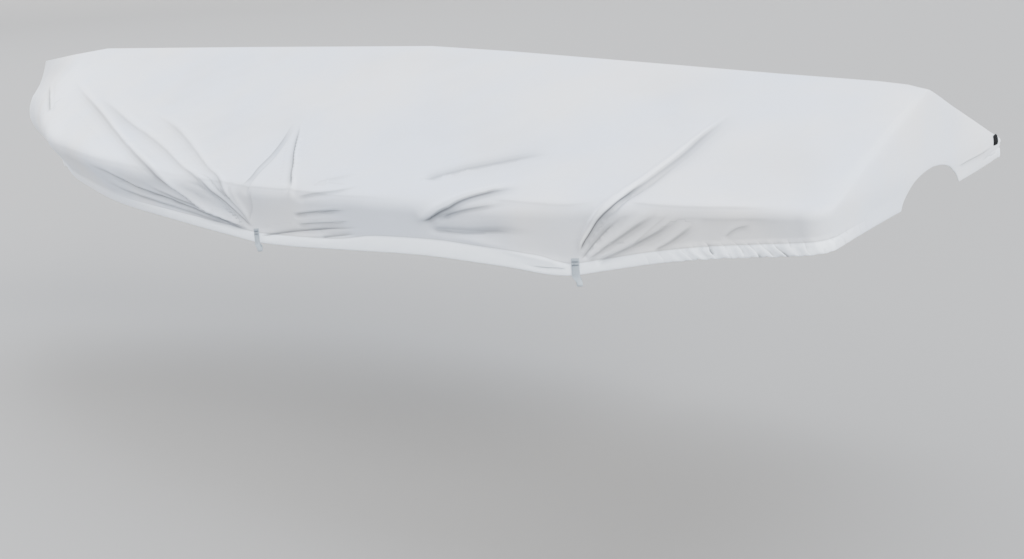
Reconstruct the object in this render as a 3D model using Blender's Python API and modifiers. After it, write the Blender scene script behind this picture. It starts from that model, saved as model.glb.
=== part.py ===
"""Fitted cover for a small open boat, in the shape it takes on the hull.

One cloth shell with a hem casing, a motor cut-out in the stern hem, four webbing loop tabs and a small
sewn patch. Metres, +Z up. X runs from the bow (-) to the stern (+), port is -Y. The origin is under the
ridge, where the middle support meets the cloth.
"""
import math

import bmesh
import bpy
import numpy as np
from mathutils import Matrix

# Cloth and hem: the hem's casing stands out a little at its top. The ridge is rounded and falls away on
# each side.
CLOTH = 0.002
HEM_BAND = 0.045
HEM_FLARE = 0.014
RIDGE_ROUNDING = 0.025
TENT_SLOPE = 0.45

# Rounding of the cloth over the gunwale: where it starts below and above it, and how much further at the
# bow. On a short skirt or slope it takes no more than its share of the length.
KNEE_BELOW = 0.070
KNEE_ABOVE = 0.100
KNEE_BELOW_MORE_AT_BOW = 0.050
KNEE_ABOVE_MORE_AT_BOW = 0.030
KNEE_SHARE_OF_SKIRT = 0.8
KNEE_SHARE_OF_SLOPE = 0.5
FULL_BOW_REACH = 0.50

# Stern: the transom plane, the rounded corner in plan, and the peak that the ridge ends in
TRANSOM_X = 1.800
CORNER_X = 1.730
CORNER_RADIUS = 0.070
TRANSOM_BOW = 0.012
STERN_GUNWALE_Z = -0.340
STERN_PEAK = (1.795, 0.0, -0.112)
HIP_ROUNDING = 0.020
HIP_SLOPE = 0.80
HIP_FACING = (0.64, -0.22, 0.74)
HIP_FADE_HEIGHT = 0.060
HIP_MIDDLE_HALF_WIDTH = 0.080
TRANSOM_HEM_MIDDLE_Z = -0.417
TRANSOM_HEM_INSET = 0.004

# The two stern corners differ a little: the starboard one is pulled lower, and its hem sits higher and wider
CORNER_PULL_FROM_X = 1.200
STERN_CORNERS = {
    # side         hem height at the corner, gunwale drop, gunwale widening, hem widening
    "port": (-0.442, 0.000, 0.000, 0.000),
    "starboard": (-0.404, 0.014, -0.008, 0.020),
}

# Motor cut-out in the stern hem, half an ellipse
CUTOUT_HALF_WIDTH = 0.215
CUTOUT_TOP_Z = -0.338
CUTOUT_FOOT_Z = -0.425
CUTTER_LENGTH = 0.220
CUTTER_SEGMENTS = 40

# Bow: how far the stem rakes aft from the gunwale down to the hem, and up to the front peak, over what length
# along the boat that rake fades, and how far the cloth sags between the stem and the peak
STEM_X = -2.732
STEM_RAKE_HEM = 0.287
STEM_RAKE_PEAK = 0.224
RAKE_REACH = 0.36
BOW_SAG = 0.014
BOW_SAG_REACH = 0.30

# Webbing loop tabs: two plies up the hem, the under one leaving it just below its edge, and a round loop.
# The heights of the loop's neck and of its opening are below the hem edge.
WEBBING_WIDTH = 0.025
WEBBING = 0.0015
TAB_ON_HEM = 0.044
LOOP_DROP = 0.031
LOOP_DEPTH = 0.013
UNDER_PLY_END = 0.0055
OVER_PLY_END = 0.003
NECK = 0.0125
OPENING_TOP = 0.0065
OPENING_NECK = 0.0140
LOOP_STEPS = 8
TAB_GAP = 0.0004
TAB_LEAN = math.radians(7)
TABS = (
    # name   x along the gunwale
    ("fore", -0.110),
    ("aft", 1.120),
)

# Sewn patch at the starboard end of the transom, over the gunwale
PATCH_FROM_Y = 0.520
PATCH_TO_Y = 0.567
PATCH_ROWS_Z = (-0.366, -0.349, -0.334)
PATCH_THICKNESS = 0.0012
PATCH_GAP = 0.0005

# How finely the cloth is divided: stations crowd together at the bow and by the tabs, where the folds start.
# One station is at each tab and one on either side of it, and no other is nearer than TAB_CLEARANCE.
SIDE_STATIONS = 54
BOW_CROWDING = 0.8
BOW_CROWDED_REACH = 0.15
TAB_CROWDING = 2.6
TAB_CROWDED_REACH = 0.28
TAB_CLEARANCE = 1.1 * WEBBING_WIDTH
BESIDE_TAB = 0.7 * WEBBING_WIDTH
CORNER_STATIONS = 4
TRANSOM_STATIONS = 8
BAND_STEPS = (0, 0.5)
SKIRT_STEPS = (0, 0.5)
KNEE_STEPS = (0, 0.25, 0.5, 0.75)
SLOPE_STEPS = (0, 0.09, 0.18, 0.28, 0.39, 0.51, 0.64, 0.77, 0.88, 0.95, 0.985, 1)
FINE_STEPS = 800
WELD = 0.0001

GUNWALE = (
    # x      half beam  height
    (-2.732, 0.000, -0.310),
    (-2.700, 0.042, -0.310),
    (-2.600, 0.082, -0.308),
    (-2.400, 0.180, -0.304),
    (-2.100, 0.347, -0.300),
    (-1.700, 0.550, -0.303),
    (-1.200, 0.700, -0.330),
    (-0.600, 0.790, -0.360),
    (0.000, 0.820, -0.369),
    (0.500, 0.812, -0.369),
    (1.100, 0.760, -0.357),
    (1.450, 0.713, -0.344),
    (1.730, 0.670, -0.340),
)

HEM = (
    # x      half beam  height
    (-2.445, 0.000, -0.552),
    (-2.400, 0.045, -0.542),
    (-2.250, 0.130, -0.520),
    (-2.000, 0.270, -0.503),
    (-1.700, 0.420, -0.500),
    (-1.450, 0.520, -0.503),
    (-1.200, 0.600, -0.516),
    (-0.600, 0.730, -0.531),
    (-0.250, 0.771, -0.547),
    (-0.110, 0.780, -0.555),
    (0.030, 0.784, -0.553),
    (0.290, 0.783, -0.542),
    (0.650, 0.773, -0.529),
    (0.900, 0.753, -0.538),
    (1.115, 0.731, -0.546),
    (1.210, 0.717, -0.527),
    (1.340, 0.698, -0.500),
    (1.470, 0.679, -0.479),
    (1.600, 0.660, -0.465),
    (1.730, 0.640, -0.453),
)

RIDGE = (
    # x      height
    (-2.508, -0.033),
    (-2.250, -0.004),
    (-1.976, 0.022),
    (-0.990, 0.019),
    (0.000, 0.0133),
    (0.350, -0.007),
    (0.950, -0.050),
    (1.350, -0.079),
    (1.650, -0.098),
    (1.795, -0.112),
)

FOLDS = (
    # name           kind    height  width at each end   route: (x at the gunwale, distance up from the hem)
    ("bow tension", "ridge", 0.017, 0.035, 0.07, ((-0.14, 0.05), (-0.52, 0.13), (-1.29, 0.39), (-2.3, 0.53))),
    ("fore fan", "ridge", 0.010, 0.030, 0.050, ((-0.14, 0.05), (-0.46, 0.263), (-0.95, 0.42), (-1.45, 0.58))),
    ("bow skirt", "ridge", 0.01, 0.024, 0.03, ((-0.15, 0.045), (-0.39, 0.085), (-0.75, 0.13), (-1.25, 0.18))),
    ("bow tuck", "trough", 0.011, 0.024, 0.03, ((-0.16, 0.035), (-0.5, 0.055), (-0.85, 0.08), (-1.35, 0.12))),
    ("dart fore", "step", 0.012, 0.030, 0.026, ((-0.09, 0.14), (-0.08, 0.23), (-0.14, 0.40), (-0.22, 0.56))),
    ("dart aft", "step", 0.010, 0.030, 0.026, ((0.10, 0.16), (0.03, 0.26), (-0.07, 0.40), (-0.21, 0.57))),
    ("mid scoop", "step", 0.012, 0.030, 0.040, ((0.63, 0.105), (0.70, 0.145), (0.79, 0.20), (0.96, 0.25))),
    ("mid hollow", "trough", 0.009, 0.045, 0.045, ((0.56, 0.27), (0.68, 0.34), (0.80, 0.39), (0.94, 0.44))),
    ("aft crease", "step", 0.016, 0.026, 0.034, ((1.125, 0.05), (1.23, 0.18), (1.30, 0.38), (1.35, 0.68))),
    ("aft fan", "ridge", 0.010, 0.022, 0.030, ((1.145, 0.045), (1.25, 0.09), (1.36, 0.15), (1.46, 0.22))),
)

# Tension lines on the far side are the same, a little slacker
STARBOARD_SLACK = 0.8

# A fold rises over the first part of its route and fades over the last, as shares of its length. A step is
# the slope of a bell times the gain that makes its highest point 1. Folds die out at the hem edge, at the
# ridge and round each tab.
FOLD_RISE = 0.12
FOLD_FADE = 0.45
STEP_GAIN = math.sqrt(2 * math.e)
FOLD_FREE_HEM = 0.03
FOLD_FREE_RIDGE = 0.10
FOLD_FREE_TAB = 0.035

MATERIALS = {
    # name        linear colour          roughness
    "cover cloth": ((0.70, 0.72, 0.75), 0.75),
    "webbing": ((0.47, 0.53, 0.58), 0.80),
    "dark patch": ((0.020, 0.020, 0.022), 0.70),
}


def curve(x, table, column):
    """Smooth curve through a table's column: cubic Hermite pieces with central-difference slopes."""
    rows = np.array(table)
    xs = rows[:, 0]
    ys = rows[:, column]
    x = np.clip(x, xs[0], xs[-1])
    slope = np.gradient(ys, xs)
    k = np.clip(np.searchsorted(xs, x) - 1, 0, len(xs) - 2)
    step = xs[k + 1] - xs[k]
    t = (x - xs[k]) / step
    return (
        (2 * t**3 - 3 * t**2 + 1) * ys[k]
        + (t**3 - 2 * t**2 + t) * step * slope[k]
        + (3 * t**2 - 2 * t**3) * ys[k + 1]
        + (t**3 - t**2) * step * slope[k + 1]
    )


def normalised(vectors):
    """Vectors scaled to length one along their last axis."""
    return vectors / np.maximum(np.linalg.norm(vectors, axis=-1, keepdims=True), 1e-9)


def side_lines(x, corner=STERN_CORNERS["port"]):
    """Gunwale, hem and ridge points for gunwale positions x along one side, each len(x) by 3."""
    corner_hem_z, drop, widening, hem_widening = corner
    pull = np.clip((x - CORNER_PULL_FROM_X) / (CORNER_X - CORNER_PULL_FROM_X), 0, 1)
    pull = pull**2 * (3 - 2 * pull)
    hem_lift = (corner_hem_z - STERN_CORNERS["port"][0]) * pull
    rake = np.exp(-(x - STEM_X) / RAKE_REACH)
    hem_x = x + STEM_RAKE_HEM * rake
    ridge_x = x + STEM_RAKE_PEAK * rake
    ridge_rows = np.array(RIDGE)
    ridge_z = np.interp(ridge_x, ridge_rows[:, 0], ridge_rows[:, 1])
    gunwale_y = curve(x, GUNWALE, 1) + widening * pull
    gunwale = np.column_stack([x, -gunwale_y, curve(x, GUNWALE, 2) - drop * pull])
    hem_y = curve(hem_x, HEM, 1) + hem_widening * pull
    hem = np.column_stack([hem_x, -hem_y, curve(hem_x, HEM, 2) + hem_lift])
    ridge = np.column_stack([ridge_x, 0 * x, ridge_z])
    return gunwale, hem, ridge


def stern_lines(corner_count, transom_count, corner):
    """The same three lines round one stern corner and along the transom to the middle."""
    corner_hem_z, drop, widening, hem_widening = corner
    turn = np.linspace(0, math.pi / 2, corner_count + 1)[1:]
    gunwale_y = GUNWALE[-1][1] - CORNER_RADIUS + widening
    hem_y = HEM[-1][1] - CORNER_RADIUS + hem_widening
    across = np.linspace(1, 0, transom_count + 1)[1:]
    transom_x = TRANSOM_X + TRANSOM_BOW * (1 - across**2)
    line_x = np.concatenate([CORNER_X + CORNER_RADIUS * np.sin(turn), transom_x])
    arc_y = CORNER_RADIUS * np.cos(turn)
    side_end_z = HEM[-1][2] + corner_hem_z - STERN_CORNERS["port"][0]
    corner_z = side_end_z + (corner_hem_z - side_end_z) * turn / turn[-1]
    transom_z = TRANSOM_HEM_MIDDLE_Z + (corner_hem_z - TRANSOM_HEM_MIDDLE_Z) * across**2
    gunwale_z = STERN_GUNWALE_Z - drop * np.concatenate([0 * turn + 1, across])
    gunwale = np.column_stack([line_x, -np.concatenate([gunwale_y + arc_y, gunwale_y * across]), gunwale_z])
    hem_line_y = -np.concatenate([hem_y + arc_y, hem_y * across])
    hem = np.column_stack([line_x - TRANSOM_HEM_INSET, hem_line_y, np.concatenate([corner_z, transom_z])])
    ridge = np.tile(STERN_PEAK, (corner_count + transom_count, 1))
    return gunwale, hem, ridge


def section_rings(gunwale, hem, ridge):
    """Port surface as rings x stations x 3: hem edge, band, skirt, rounded gunwale, slope, rounded ridge."""
    down = normalised(hem - gunwale)
    outward = normalised((gunwale - ridge) * np.array([1, 1, 0]))
    hem_top = hem - down * HEM_BAND - outward * HEM_FLARE
    drop = np.linalg.norm(hem_top - gunwale, axis=1, keepdims=True)
    rise = np.linalg.norm(ridge - gunwale, axis=1, keepdims=True)
    from_stem = gunwale[:, :1] - STEM_X
    full_bow = np.exp(-from_stem / FULL_BOW_REACH)
    reach_below = np.minimum(KNEE_BELOW + KNEE_BELOW_MORE_AT_BOW * full_bow, KNEE_SHARE_OF_SKIRT * drop)
    reach_above = np.minimum(KNEE_ABOVE + KNEE_ABOVE_MORE_AT_BOW * full_bow, KNEE_SHARE_OF_SLOPE * rise)
    below = gunwale + (hem_top - gunwale) / drop * reach_below
    above = gunwale + (ridge - gunwale) / rise * reach_above
    sag = BOW_SAG * np.exp(-from_stem / BOW_SAG_REACH) * normalised(ridge - gunwale + outward)
    rings = [hem + (hem_top - hem) * t for t in BAND_STEPS]
    rings += [hem_top + (below - hem_top) * t for t in SKIRT_STEPS]
    rings += [(1 - t) ** 2 * below + 2 * t * (1 - t) * gunwale + t**2 * above for t in KNEE_STEPS]
    rings += [above + (ridge - above) * t - 4 * t * (1 - t) * sag for t in SLOPE_STEPS]
    surface = np.array(rings)
    away = np.linalg.norm((surface - ridge)[:, :, :2], axis=2)
    surface[:, :, 2] -= TENT_SLOPE * (np.sqrt(away**2 + RIDGE_ROUNDING**2) - away)
    return ease_hip(surface)


def ease_hip(surface):
    """Round the hip that runs from the stern peak to the corner, where the side slope meets the gable."""
    peak = np.array(STERN_PEAK)
    corner = np.array([TRANSOM_X, -GUNWALE[-1][1], STERN_GUNWALE_Z])
    hip = normalised(corner - peak)
    along = np.clip((surface - peak) @ hip, 0, np.linalg.norm(corner - peak))
    away = np.linalg.norm(surface - peak - along[:, :, None] * hip, axis=2)
    fade = np.clip((surface[:, :, 2] - STERN_GUNWALE_Z) / HIP_FADE_HEIGHT, 0, 1)
    depth = HIP_SLOPE * (np.sqrt(away**2 + HIP_ROUNDING**2) - away) * fade
    in_middle = surface[:, :, 1:2] > -HIP_MIDDLE_HALF_WIDTH
    facing = np.array(HIP_FACING) * np.where(in_middle, [1, 0, 1], [1, 1, 1])
    return surface - facing * depth[:, :, None]


def girth(surface):
    """Distance up the cloth from the hem edge at every point of a rings x stations surface."""
    steps = np.linalg.norm(np.diff(surface, axis=0), axis=2)
    return np.vstack([np.zeros((1, surface.shape[1])), np.cumsum(steps, axis=0)])


def place_on_side(x, up):
    """Point on the port side cloth at gunwale position x, a distance up from the hem."""
    column = section_rings(*side_lines(np.array([x])))
    climbed = girth(column)[:, 0]
    return np.array([np.interp(up, climbed, column[:, 0, axis]) for axis in range(3)])


def fold_path(route, samples=28):
    """A fold's route as points on the base cloth, through a cubic Bezier over its four stated places."""
    t = np.linspace(0, 1, samples)[:, None]
    a, b, c, d = np.array(route)
    flat = (1 - t) ** 3 * a + 3 * t * (1 - t) ** 2 * b + 3 * t**2 * (1 - t) * c + t**3 * d
    return np.array([place_on_side(x, up) for x, up in flat])


def fold_heights(points, normals, fold):
    """Outward move of each point for one fold: a bell across its route, quick to rise and slow to fade."""
    _, kind, height, width_start, width_end, route = fold
    path = fold_path(route)
    starts, spans = path[:-1], np.diff(path, axis=0)
    reach = points[:, None, :] - starts
    share = np.clip(np.einsum("ijk,jk->ij", reach, spans) / (spans**2).sum(1), 0, 1)
    offsets = reach - share[:, :, None] * spans
    gaps = np.linalg.norm(offsets, axis=2)
    nearest = gaps.argmin(axis=1)
    row = np.arange(len(points))
    along = (nearest + share[row, nearest]) / len(spans)
    uphill = np.cross(normals, normalised(spans)[nearest])
    width = width_start + (width_end - width_start) * along
    across = np.einsum("ij,ij->i", uphill, offsets[row, nearest]) / width
    bell = np.exp(-((gaps[row, nearest] / width) ** 2))
    taper = np.minimum(along / FOLD_RISE, 1) * np.minimum((1 - along) / FOLD_FADE, 1)
    shape = {"ridge": bell, "trough": -bell, "step": STEP_GAIN * across * bell}[kind]
    return height * taper * shape


def grid_normals(surface):
    """Outward unit normals of a rings x stations surface on the port side."""
    up = np.gradient(surface, axis=0)
    along = np.gradient(surface, axis=1)
    return normalised(np.cross(along, up))


def side_stations():
    """Places along the gunwale for the side's sections, close together by each tab, one exactly at it."""
    x = np.linspace(STEM_X, CORNER_X, FINE_STEPS)
    density = 1 + BOW_CROWDING * np.exp(-(x - STEM_X) / BOW_CROWDED_REACH)
    for _, tab_x in TABS:
        density += TAB_CROWDING * np.exp(-(((x - tab_x) / TAB_CROWDED_REACH) ** 2))
    counted = np.concatenate([[0], np.cumsum((density[1:] + density[:-1]) / 2)])
    places = np.interp(np.linspace(0, counted[-1], SIDE_STATIONS), counted, x)
    for _, tab_x in TABS:
        places = places[np.abs(places - tab_x) > TAB_CLEARANCE]
        places = np.append(places, [tab_x - BESIDE_TAB, tab_x, tab_x + BESIDE_TAB])
    return np.sort(places)


def half_surface(corner):
    """One half of the cloth's outer face before its folds, from the stem to the middle of the transom."""
    side = side_lines(side_stations(), corner)
    stern = stern_lines(CORNER_STATIONS, TRANSOM_STATIONS, corner)
    lines = [np.concatenate(pair) for pair in zip(side, stern)]
    return section_rings(*lines)


def folded(surface, slack):
    """The surface with every fold raised on it, except at the hem edge and along the ridge."""
    normals = grid_normals(surface)
    points = surface.reshape(-1, 3)
    flat_normals = normals.reshape(-1, 3)
    total = np.zeros(len(points))
    for fold in FOLDS:
        total += fold_heights(points, flat_normals, fold)
    up = girth(surface)
    room = np.minimum(up / FOLD_FREE_HEM, 1) * np.minimum((up[-1] - up) / FOLD_FREE_RIDGE, 1)
    for _, tab_x in TABS:
        tab = place_on_side(tab_x, TAB_ON_HEM / 2)
        room *= 1 - np.exp(-((np.linalg.norm(surface - tab, axis=2) / FOLD_FREE_TAB) ** 4))
    return surface + normals * (total.reshape(room.shape) * room * slack)[:, :, None]


def new_material(name):
    colour, roughness = MATERIALS[name]
    material = bpy.data.materials.new(name)
    material.use_nodes = True
    shader = material.node_tree.nodes["Principled BSDF"]
    shader.inputs["Base Color"].default_value = (*colour, 1.0)
    shader.inputs["Roughness"].default_value = roughness
    shader.inputs["Metallic"].default_value = 0.0
    material.diffuse_color = (*colour, 1.0)
    return material


def new_object(name, mesh, collection, material):
    obj = bpy.data.objects.new(name, mesh)
    collection.objects.link(obj)
    mesh.materials.append(material)
    return obj


def ring_of_cloth():
    """Port stations followed by the mirrored starboard ones, so the rings close round the boat."""
    port = folded(half_surface(STERN_CORNERS["port"]), 1.0)
    starboard = folded(half_surface(STERN_CORNERS["starboard"]), STARBOARD_SLACK) * np.array([1, -1, 1])
    port[:, -1] = (port[:, -1] + starboard[:, -1]) / 2
    return np.concatenate([port, starboard[:, -2:0:-1]], axis=1)


def make_cover(surface, collection, cutters, material):
    """The cloth: a loft of the rings, closed round the boat, welded along the ridge, thickened inwards."""
    rings, stations, _ = surface.shape
    index = np.arange(rings * stations).reshape(rings, stations)
    following = np.roll(index, -1, axis=1)
    faces = np.stack([index[:-1], following[:-1], following[1:], index[1:]], axis=2).reshape(-1, 4)
    mesh = bpy.data.meshes.new("cover")
    mesh.from_pydata(surface.reshape(-1, 3).tolist(), [], faces.tolist())
    weld = bmesh.new()
    weld.from_mesh(mesh)
    bmesh.ops.remove_doubles(weld, verts=weld.verts, dist=WELD)
    bmesh.ops.recalc_face_normals(weld, faces=weld.faces)
    weld.to_mesh(mesh)
    weld.free()
    mesh.shade_smooth()
    cover = new_object("cover", mesh, collection, material)
    thickness = cover.modifiers.new("cloth thickness", "SOLIDIFY")
    thickness.thickness = CLOTH
    thickness.offset = -1.0
    cutout = cover.modifiers.new("motor cut-out", "BOOLEAN")
    cutout.operation = "DIFFERENCE"
    cutout.solver = "EXACT"
    cutout.object = make_cutout_tool(cutters)
    return cover


def make_cutout_tool(cutters):
    """An elliptical bar through the transom, standing on the hem line."""
    tool = bmesh.new()
    bmesh.ops.create_cone(tool, cap_ends=True, segments=CUTTER_SEGMENTS, radius1=1, radius2=1, depth=1)
    bmesh.ops.rotate(tool, verts=tool.verts, matrix=Matrix.Rotation(math.pi / 2, 3, "Y"))
    size = (CUTTER_LENGTH, CUTOUT_HALF_WIDTH, CUTOUT_TOP_Z - CUTOUT_FOOT_Z)
    bmesh.ops.scale(tool, verts=tool.verts, vec=size)
    bmesh.ops.translate(tool, verts=tool.verts, vec=(TRANSOM_X, 0, CUTOUT_FOOT_Z))
    mesh = bpy.data.meshes.new("motor_cutout_tool")
    tool.to_mesh(mesh)
    tool.free()
    obj = bpy.data.objects.new("motor_cutout_tool", mesh)
    cutters.objects.link(obj)
    obj.hide_render = True
    obj.display_type = "WIRE"
    return obj


def tab_outline():
    """Loop tab seen along the hem: two plies sewn flat up the hem, opening into a loop below it.

    Points are (out from the cloth, up), the outer outline first and the opening second.
    """
    half = LOOP_DEPTH / 2
    inner_half = half - WEBBING
    turn = np.linspace(0, math.pi, LOOP_STEPS + 1)
    bottom = -LOOP_DROP + half
    outer = [(0, TAB_ON_HEM), (0, -UNDER_PLY_END), (WEBBING - half, -NECK)]
    outer += [(WEBBING - half * math.cos(a), bottom - half * math.sin(a)) for a in turn]
    outer += [(WEBBING + half, -NECK), (2 * WEBBING, -OVER_PLY_END), (2 * WEBBING, TAB_ON_HEM)]
    inner = [(WEBBING, -OPENING_TOP), (WEBBING - inner_half, -OPENING_NECK)]
    inner += [(WEBBING - inner_half * math.cos(a), bottom - inner_half * math.sin(a)) for a in turn]
    inner += [(WEBBING + inner_half, -OPENING_NECK)]
    return outer, inner


def make_tab(name, tab_x, side, collection, material):
    """A webbing loop tab, sewn outside the hem band at tab_x; side is -1 to port and 1 to starboard."""
    data = bpy.data.curves.new(name, "CURVE")
    data.dimensions = "2D"
    data.fill_mode = "BOTH"
    data.extrude = WEBBING_WIDTH / 2
    for outline in tab_outline():
        spline = data.splines.new("POLY")
        spline.points.add(len(outline) - 1)
        for point, (out, up) in zip(spline.points, outline):
            point.co = (out, up, 0, 1)
        spline.use_cyclic_u = True
    flat = bpy.data.objects.new(name + "_outline", data)
    collection.objects.link(flat)
    evaluated = flat.evaluated_get(bpy.context.evaluated_depsgraph_get())
    mesh = bpy.data.meshes.new_from_object(evaluated)
    bpy.data.objects.remove(flat)
    joined = bmesh.new()
    joined.from_mesh(mesh)
    bmesh.ops.remove_doubles(joined, verts=joined.verts, dist=WELD)
    bmesh.ops.recalc_face_normals(joined, faces=joined.faces)
    joined.to_mesh(mesh)
    joined.free()
    mesh.name = name
    obj = new_object(name, mesh, collection, material)
    edges = np.array([tab_x - WEBBING_WIDTH / 2, tab_x, tab_x + WEBBING_WIDTH / 2])
    rings = section_rings(*side_lines(edges))
    foot = rings[0, 1]
    up = normalised(rings[2, 1] - foot)
    along = normalised(rings[0, 2] - rings[0, 0])
    out = normalised(np.cross(along, up))
    along = np.cross(up, out)
    up = up * math.cos(TAB_LEAN) - along * math.sin(TAB_LEAN)
    corner = foot + out * TAB_GAP
    mirror = np.array([1, -side, 1])
    axes = np.array([out, up, np.cross(out, up)]) * mirror
    if side > 0:
        axes[2] = -axes[2]
    matrix = Matrix.Identity(4)
    for column in range(3):
        for row in range(3):
            matrix[row][column] = axes[column][row]
    matrix.translation = (corner * mirror).tolist()
    obj.matrix_world = matrix
    return obj


def make_patch(surface, collection, material):
    """Small sewn patch on the transom beside its starboard end: a thin sheet just clear of the cloth."""
    port_count = surface.shape[1] // 2 + 1
    transom_end = surface.shape[1] - (port_count - TRANSOM_STATIONS - 1)
    inner, outer = surface[:, transom_end - 1], surface[:, transom_end]
    rows = []
    for z in PATCH_ROWS_Z:
        ends = [[np.interp(z, side[:, 2], side[:, axis]) for axis in range(3)] for side in (inner, outer)]
        span = ends[1][1] - ends[0][1]
        for y in (PATCH_FROM_Y, PATCH_TO_Y):
            share = (y - ends[0][1]) / span
            rows.append([a + (b - a) * share for a, b in zip(*ends)])
    points = np.array(rows) + [PATCH_GAP, 0, 0]
    faces = [(i, i + 1, i + 3, i + 2) for i in range(0, len(points) - 2, 2)]
    mesh = bpy.data.meshes.new("corner_patch")
    mesh.from_pydata(points.tolist(), [], faces)
    patch = new_object("corner_patch", mesh, collection, material)
    thickness = patch.modifiers.new("patch thickness", "SOLIDIFY")
    thickness.thickness = PATCH_THICKNESS
    thickness.offset = 1.0
    return patch


def main():
    for obj in list(bpy.data.objects):
        bpy.data.objects.remove(obj)
    collection = bpy.data.collections.new("boat_cover")
    cutters = bpy.data.collections.new("cutters")
    bpy.context.scene.collection.children.link(collection)
    bpy.context.scene.collection.children.link(cutters)
    surface = ring_of_cloth()
    make_cover(surface, collection, cutters, new_material("cover cloth"))
    webbing = new_material("webbing")
    for name, tab_x in TABS:
        make_tab("loop_port_" + name, tab_x, -1, collection, webbing)
        make_tab("loop_starboard_" + name, tab_x, 1, collection, webbing)
    make_patch(surface, collection, new_material("dark patch"))


main()
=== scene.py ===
"""Looks of a fitted boat cover: folded cloth with a gathered hem, webbing loop tabs and a sewn patch.

Metres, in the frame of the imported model: X runs from the bow (-) to the stern (+), port is -Y, +Z is up, and
the origin is under the ridge. Every cloth surface is a function of two parameters worked out on a grid.
"""

import math

import bpy
import numpy as np
from mathutils import Matrix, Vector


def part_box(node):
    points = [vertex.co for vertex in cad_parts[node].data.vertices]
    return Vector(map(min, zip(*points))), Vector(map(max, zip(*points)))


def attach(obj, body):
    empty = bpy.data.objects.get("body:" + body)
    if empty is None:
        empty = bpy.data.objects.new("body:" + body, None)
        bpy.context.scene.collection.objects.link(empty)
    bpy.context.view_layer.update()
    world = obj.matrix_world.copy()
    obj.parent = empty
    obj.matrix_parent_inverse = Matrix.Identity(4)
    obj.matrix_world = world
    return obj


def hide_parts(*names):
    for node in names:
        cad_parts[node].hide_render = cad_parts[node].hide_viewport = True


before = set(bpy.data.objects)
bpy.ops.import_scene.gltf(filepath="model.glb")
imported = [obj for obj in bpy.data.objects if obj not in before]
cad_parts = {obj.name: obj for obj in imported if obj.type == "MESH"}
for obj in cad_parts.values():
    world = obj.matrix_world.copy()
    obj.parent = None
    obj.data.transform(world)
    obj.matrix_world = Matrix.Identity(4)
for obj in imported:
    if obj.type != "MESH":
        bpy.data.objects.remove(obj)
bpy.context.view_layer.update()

# ---------------------------------------------------------------------------------------------------------
# Driving sizes, the same as in the part's source
# ---------------------------------------------------------------------------------------------------------
HEM_BAND = 0.045
HEM_FLARE = 0.014
RIDGE_ROUNDING = 0.025
TENT_SLOPE = 0.45

KNEE_BELOW = 0.070
KNEE_ABOVE = 0.100
KNEE_BELOW_MORE_AT_BOW = 0.050
KNEE_ABOVE_MORE_AT_BOW = 0.030
KNEE_SHARE_OF_SKIRT = 0.8
KNEE_SHARE_OF_SLOPE = 0.5
FULL_BOW_REACH = 0.50
KNEE_TIGHTENING = (
    # from x  over what length  share taken off the knee's rounding: the cloth is pulled harder there
    (-1.30, 0.80, 0.45),
    (1.05, 0.35, 0.15),
)

TRANSOM_X = 1.800
CORNER_X = 1.730
CORNER_RADIUS = 0.070
TRANSOM_BOW = 0.012
STERN_GUNWALE_Z = -0.340
STERN_PEAK = (1.795, 0.0, -0.112)
HIP_ROUNDING = 0.020
HIP_SLOPE = 0.80
HIP_FACING = (0.64, -0.22, 0.74)
HIP_FADE_HEIGHT = 0.060
HIP_MIDDLE_HALF_WIDTH = 0.080
TRANSOM_HEM_MIDDLE_Z = -0.417
TRANSOM_HEM_INSET = 0.004
CORNER_PULL_FROM_X = 1.200
STERN_CORNERS = {
    # side         hem height at the corner, gunwale drop, gunwale widening, hem widening
    "port": (-0.442, 0.000, 0.000, 0.000),
    "starboard": (-0.404, 0.014, -0.008, 0.020),
}

CUTOUT_HALF_WIDTH = 0.215
CUTOUT_TOP_Z = -0.338
CUTOUT_FOOT_Z = -0.425

STEM_X = -2.732
STEM_RAKE_HEM = 0.287
STEM_RAKE_PEAK = 0.224
RAKE_REACH = 0.36
BOW_SAG = 0.014
BOW_SAG_REACH = 0.30

WEBBING_WIDTH = 0.025
WEBBING = 0.0015
TAB_ON_HEM = 0.044
LOOP_DROP = 0.031
LOOP_DEPTH = 0.013
TAB_GAP = 0.0004
TAB_LEAN = math.radians(7)
TABS = (
    # name   x along the gunwale
    ("fore", -0.110),
    ("aft", 1.120),
)

GUNWALE = (
    # x      half beam  height
    (-2.732, 0.000, -0.310),
    (-2.700, 0.042, -0.310),
    (-2.600, 0.082, -0.308),
    (-2.400, 0.180, -0.304),
    (-2.100, 0.347, -0.300),
    (-1.700, 0.550, -0.303),
    (-1.200, 0.700, -0.330),
    (-0.600, 0.790, -0.360),
    (0.000, 0.820, -0.369),
    (0.500, 0.812, -0.369),
    (1.100, 0.760, -0.357),
    (1.450, 0.713, -0.344),
    (1.730, 0.670, -0.340),
)

HEM = (
    # x      half beam  height
    (-2.445, 0.000, -0.552),
    (-2.400, 0.045, -0.542),
    (-2.250, 0.130, -0.520),
    (-2.000, 0.270, -0.503),
    (-1.700, 0.420, -0.500),
    (-1.450, 0.520, -0.503),
    (-1.200, 0.600, -0.516),
    (-0.600, 0.730, -0.531),
    (-0.250, 0.771, -0.547),
    (-0.110, 0.780, -0.555),
    (0.030, 0.784, -0.553),
    (0.290, 0.783, -0.542),
    (0.650, 0.773, -0.529),
    (0.900, 0.753, -0.538),
    (1.115, 0.731, -0.546),
    (1.210, 0.717, -0.527),
    (1.340, 0.698, -0.500),
    (1.470, 0.679, -0.479),
    (1.600, 0.660, -0.465),
    (1.730, 0.640, -0.453),
)

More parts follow.
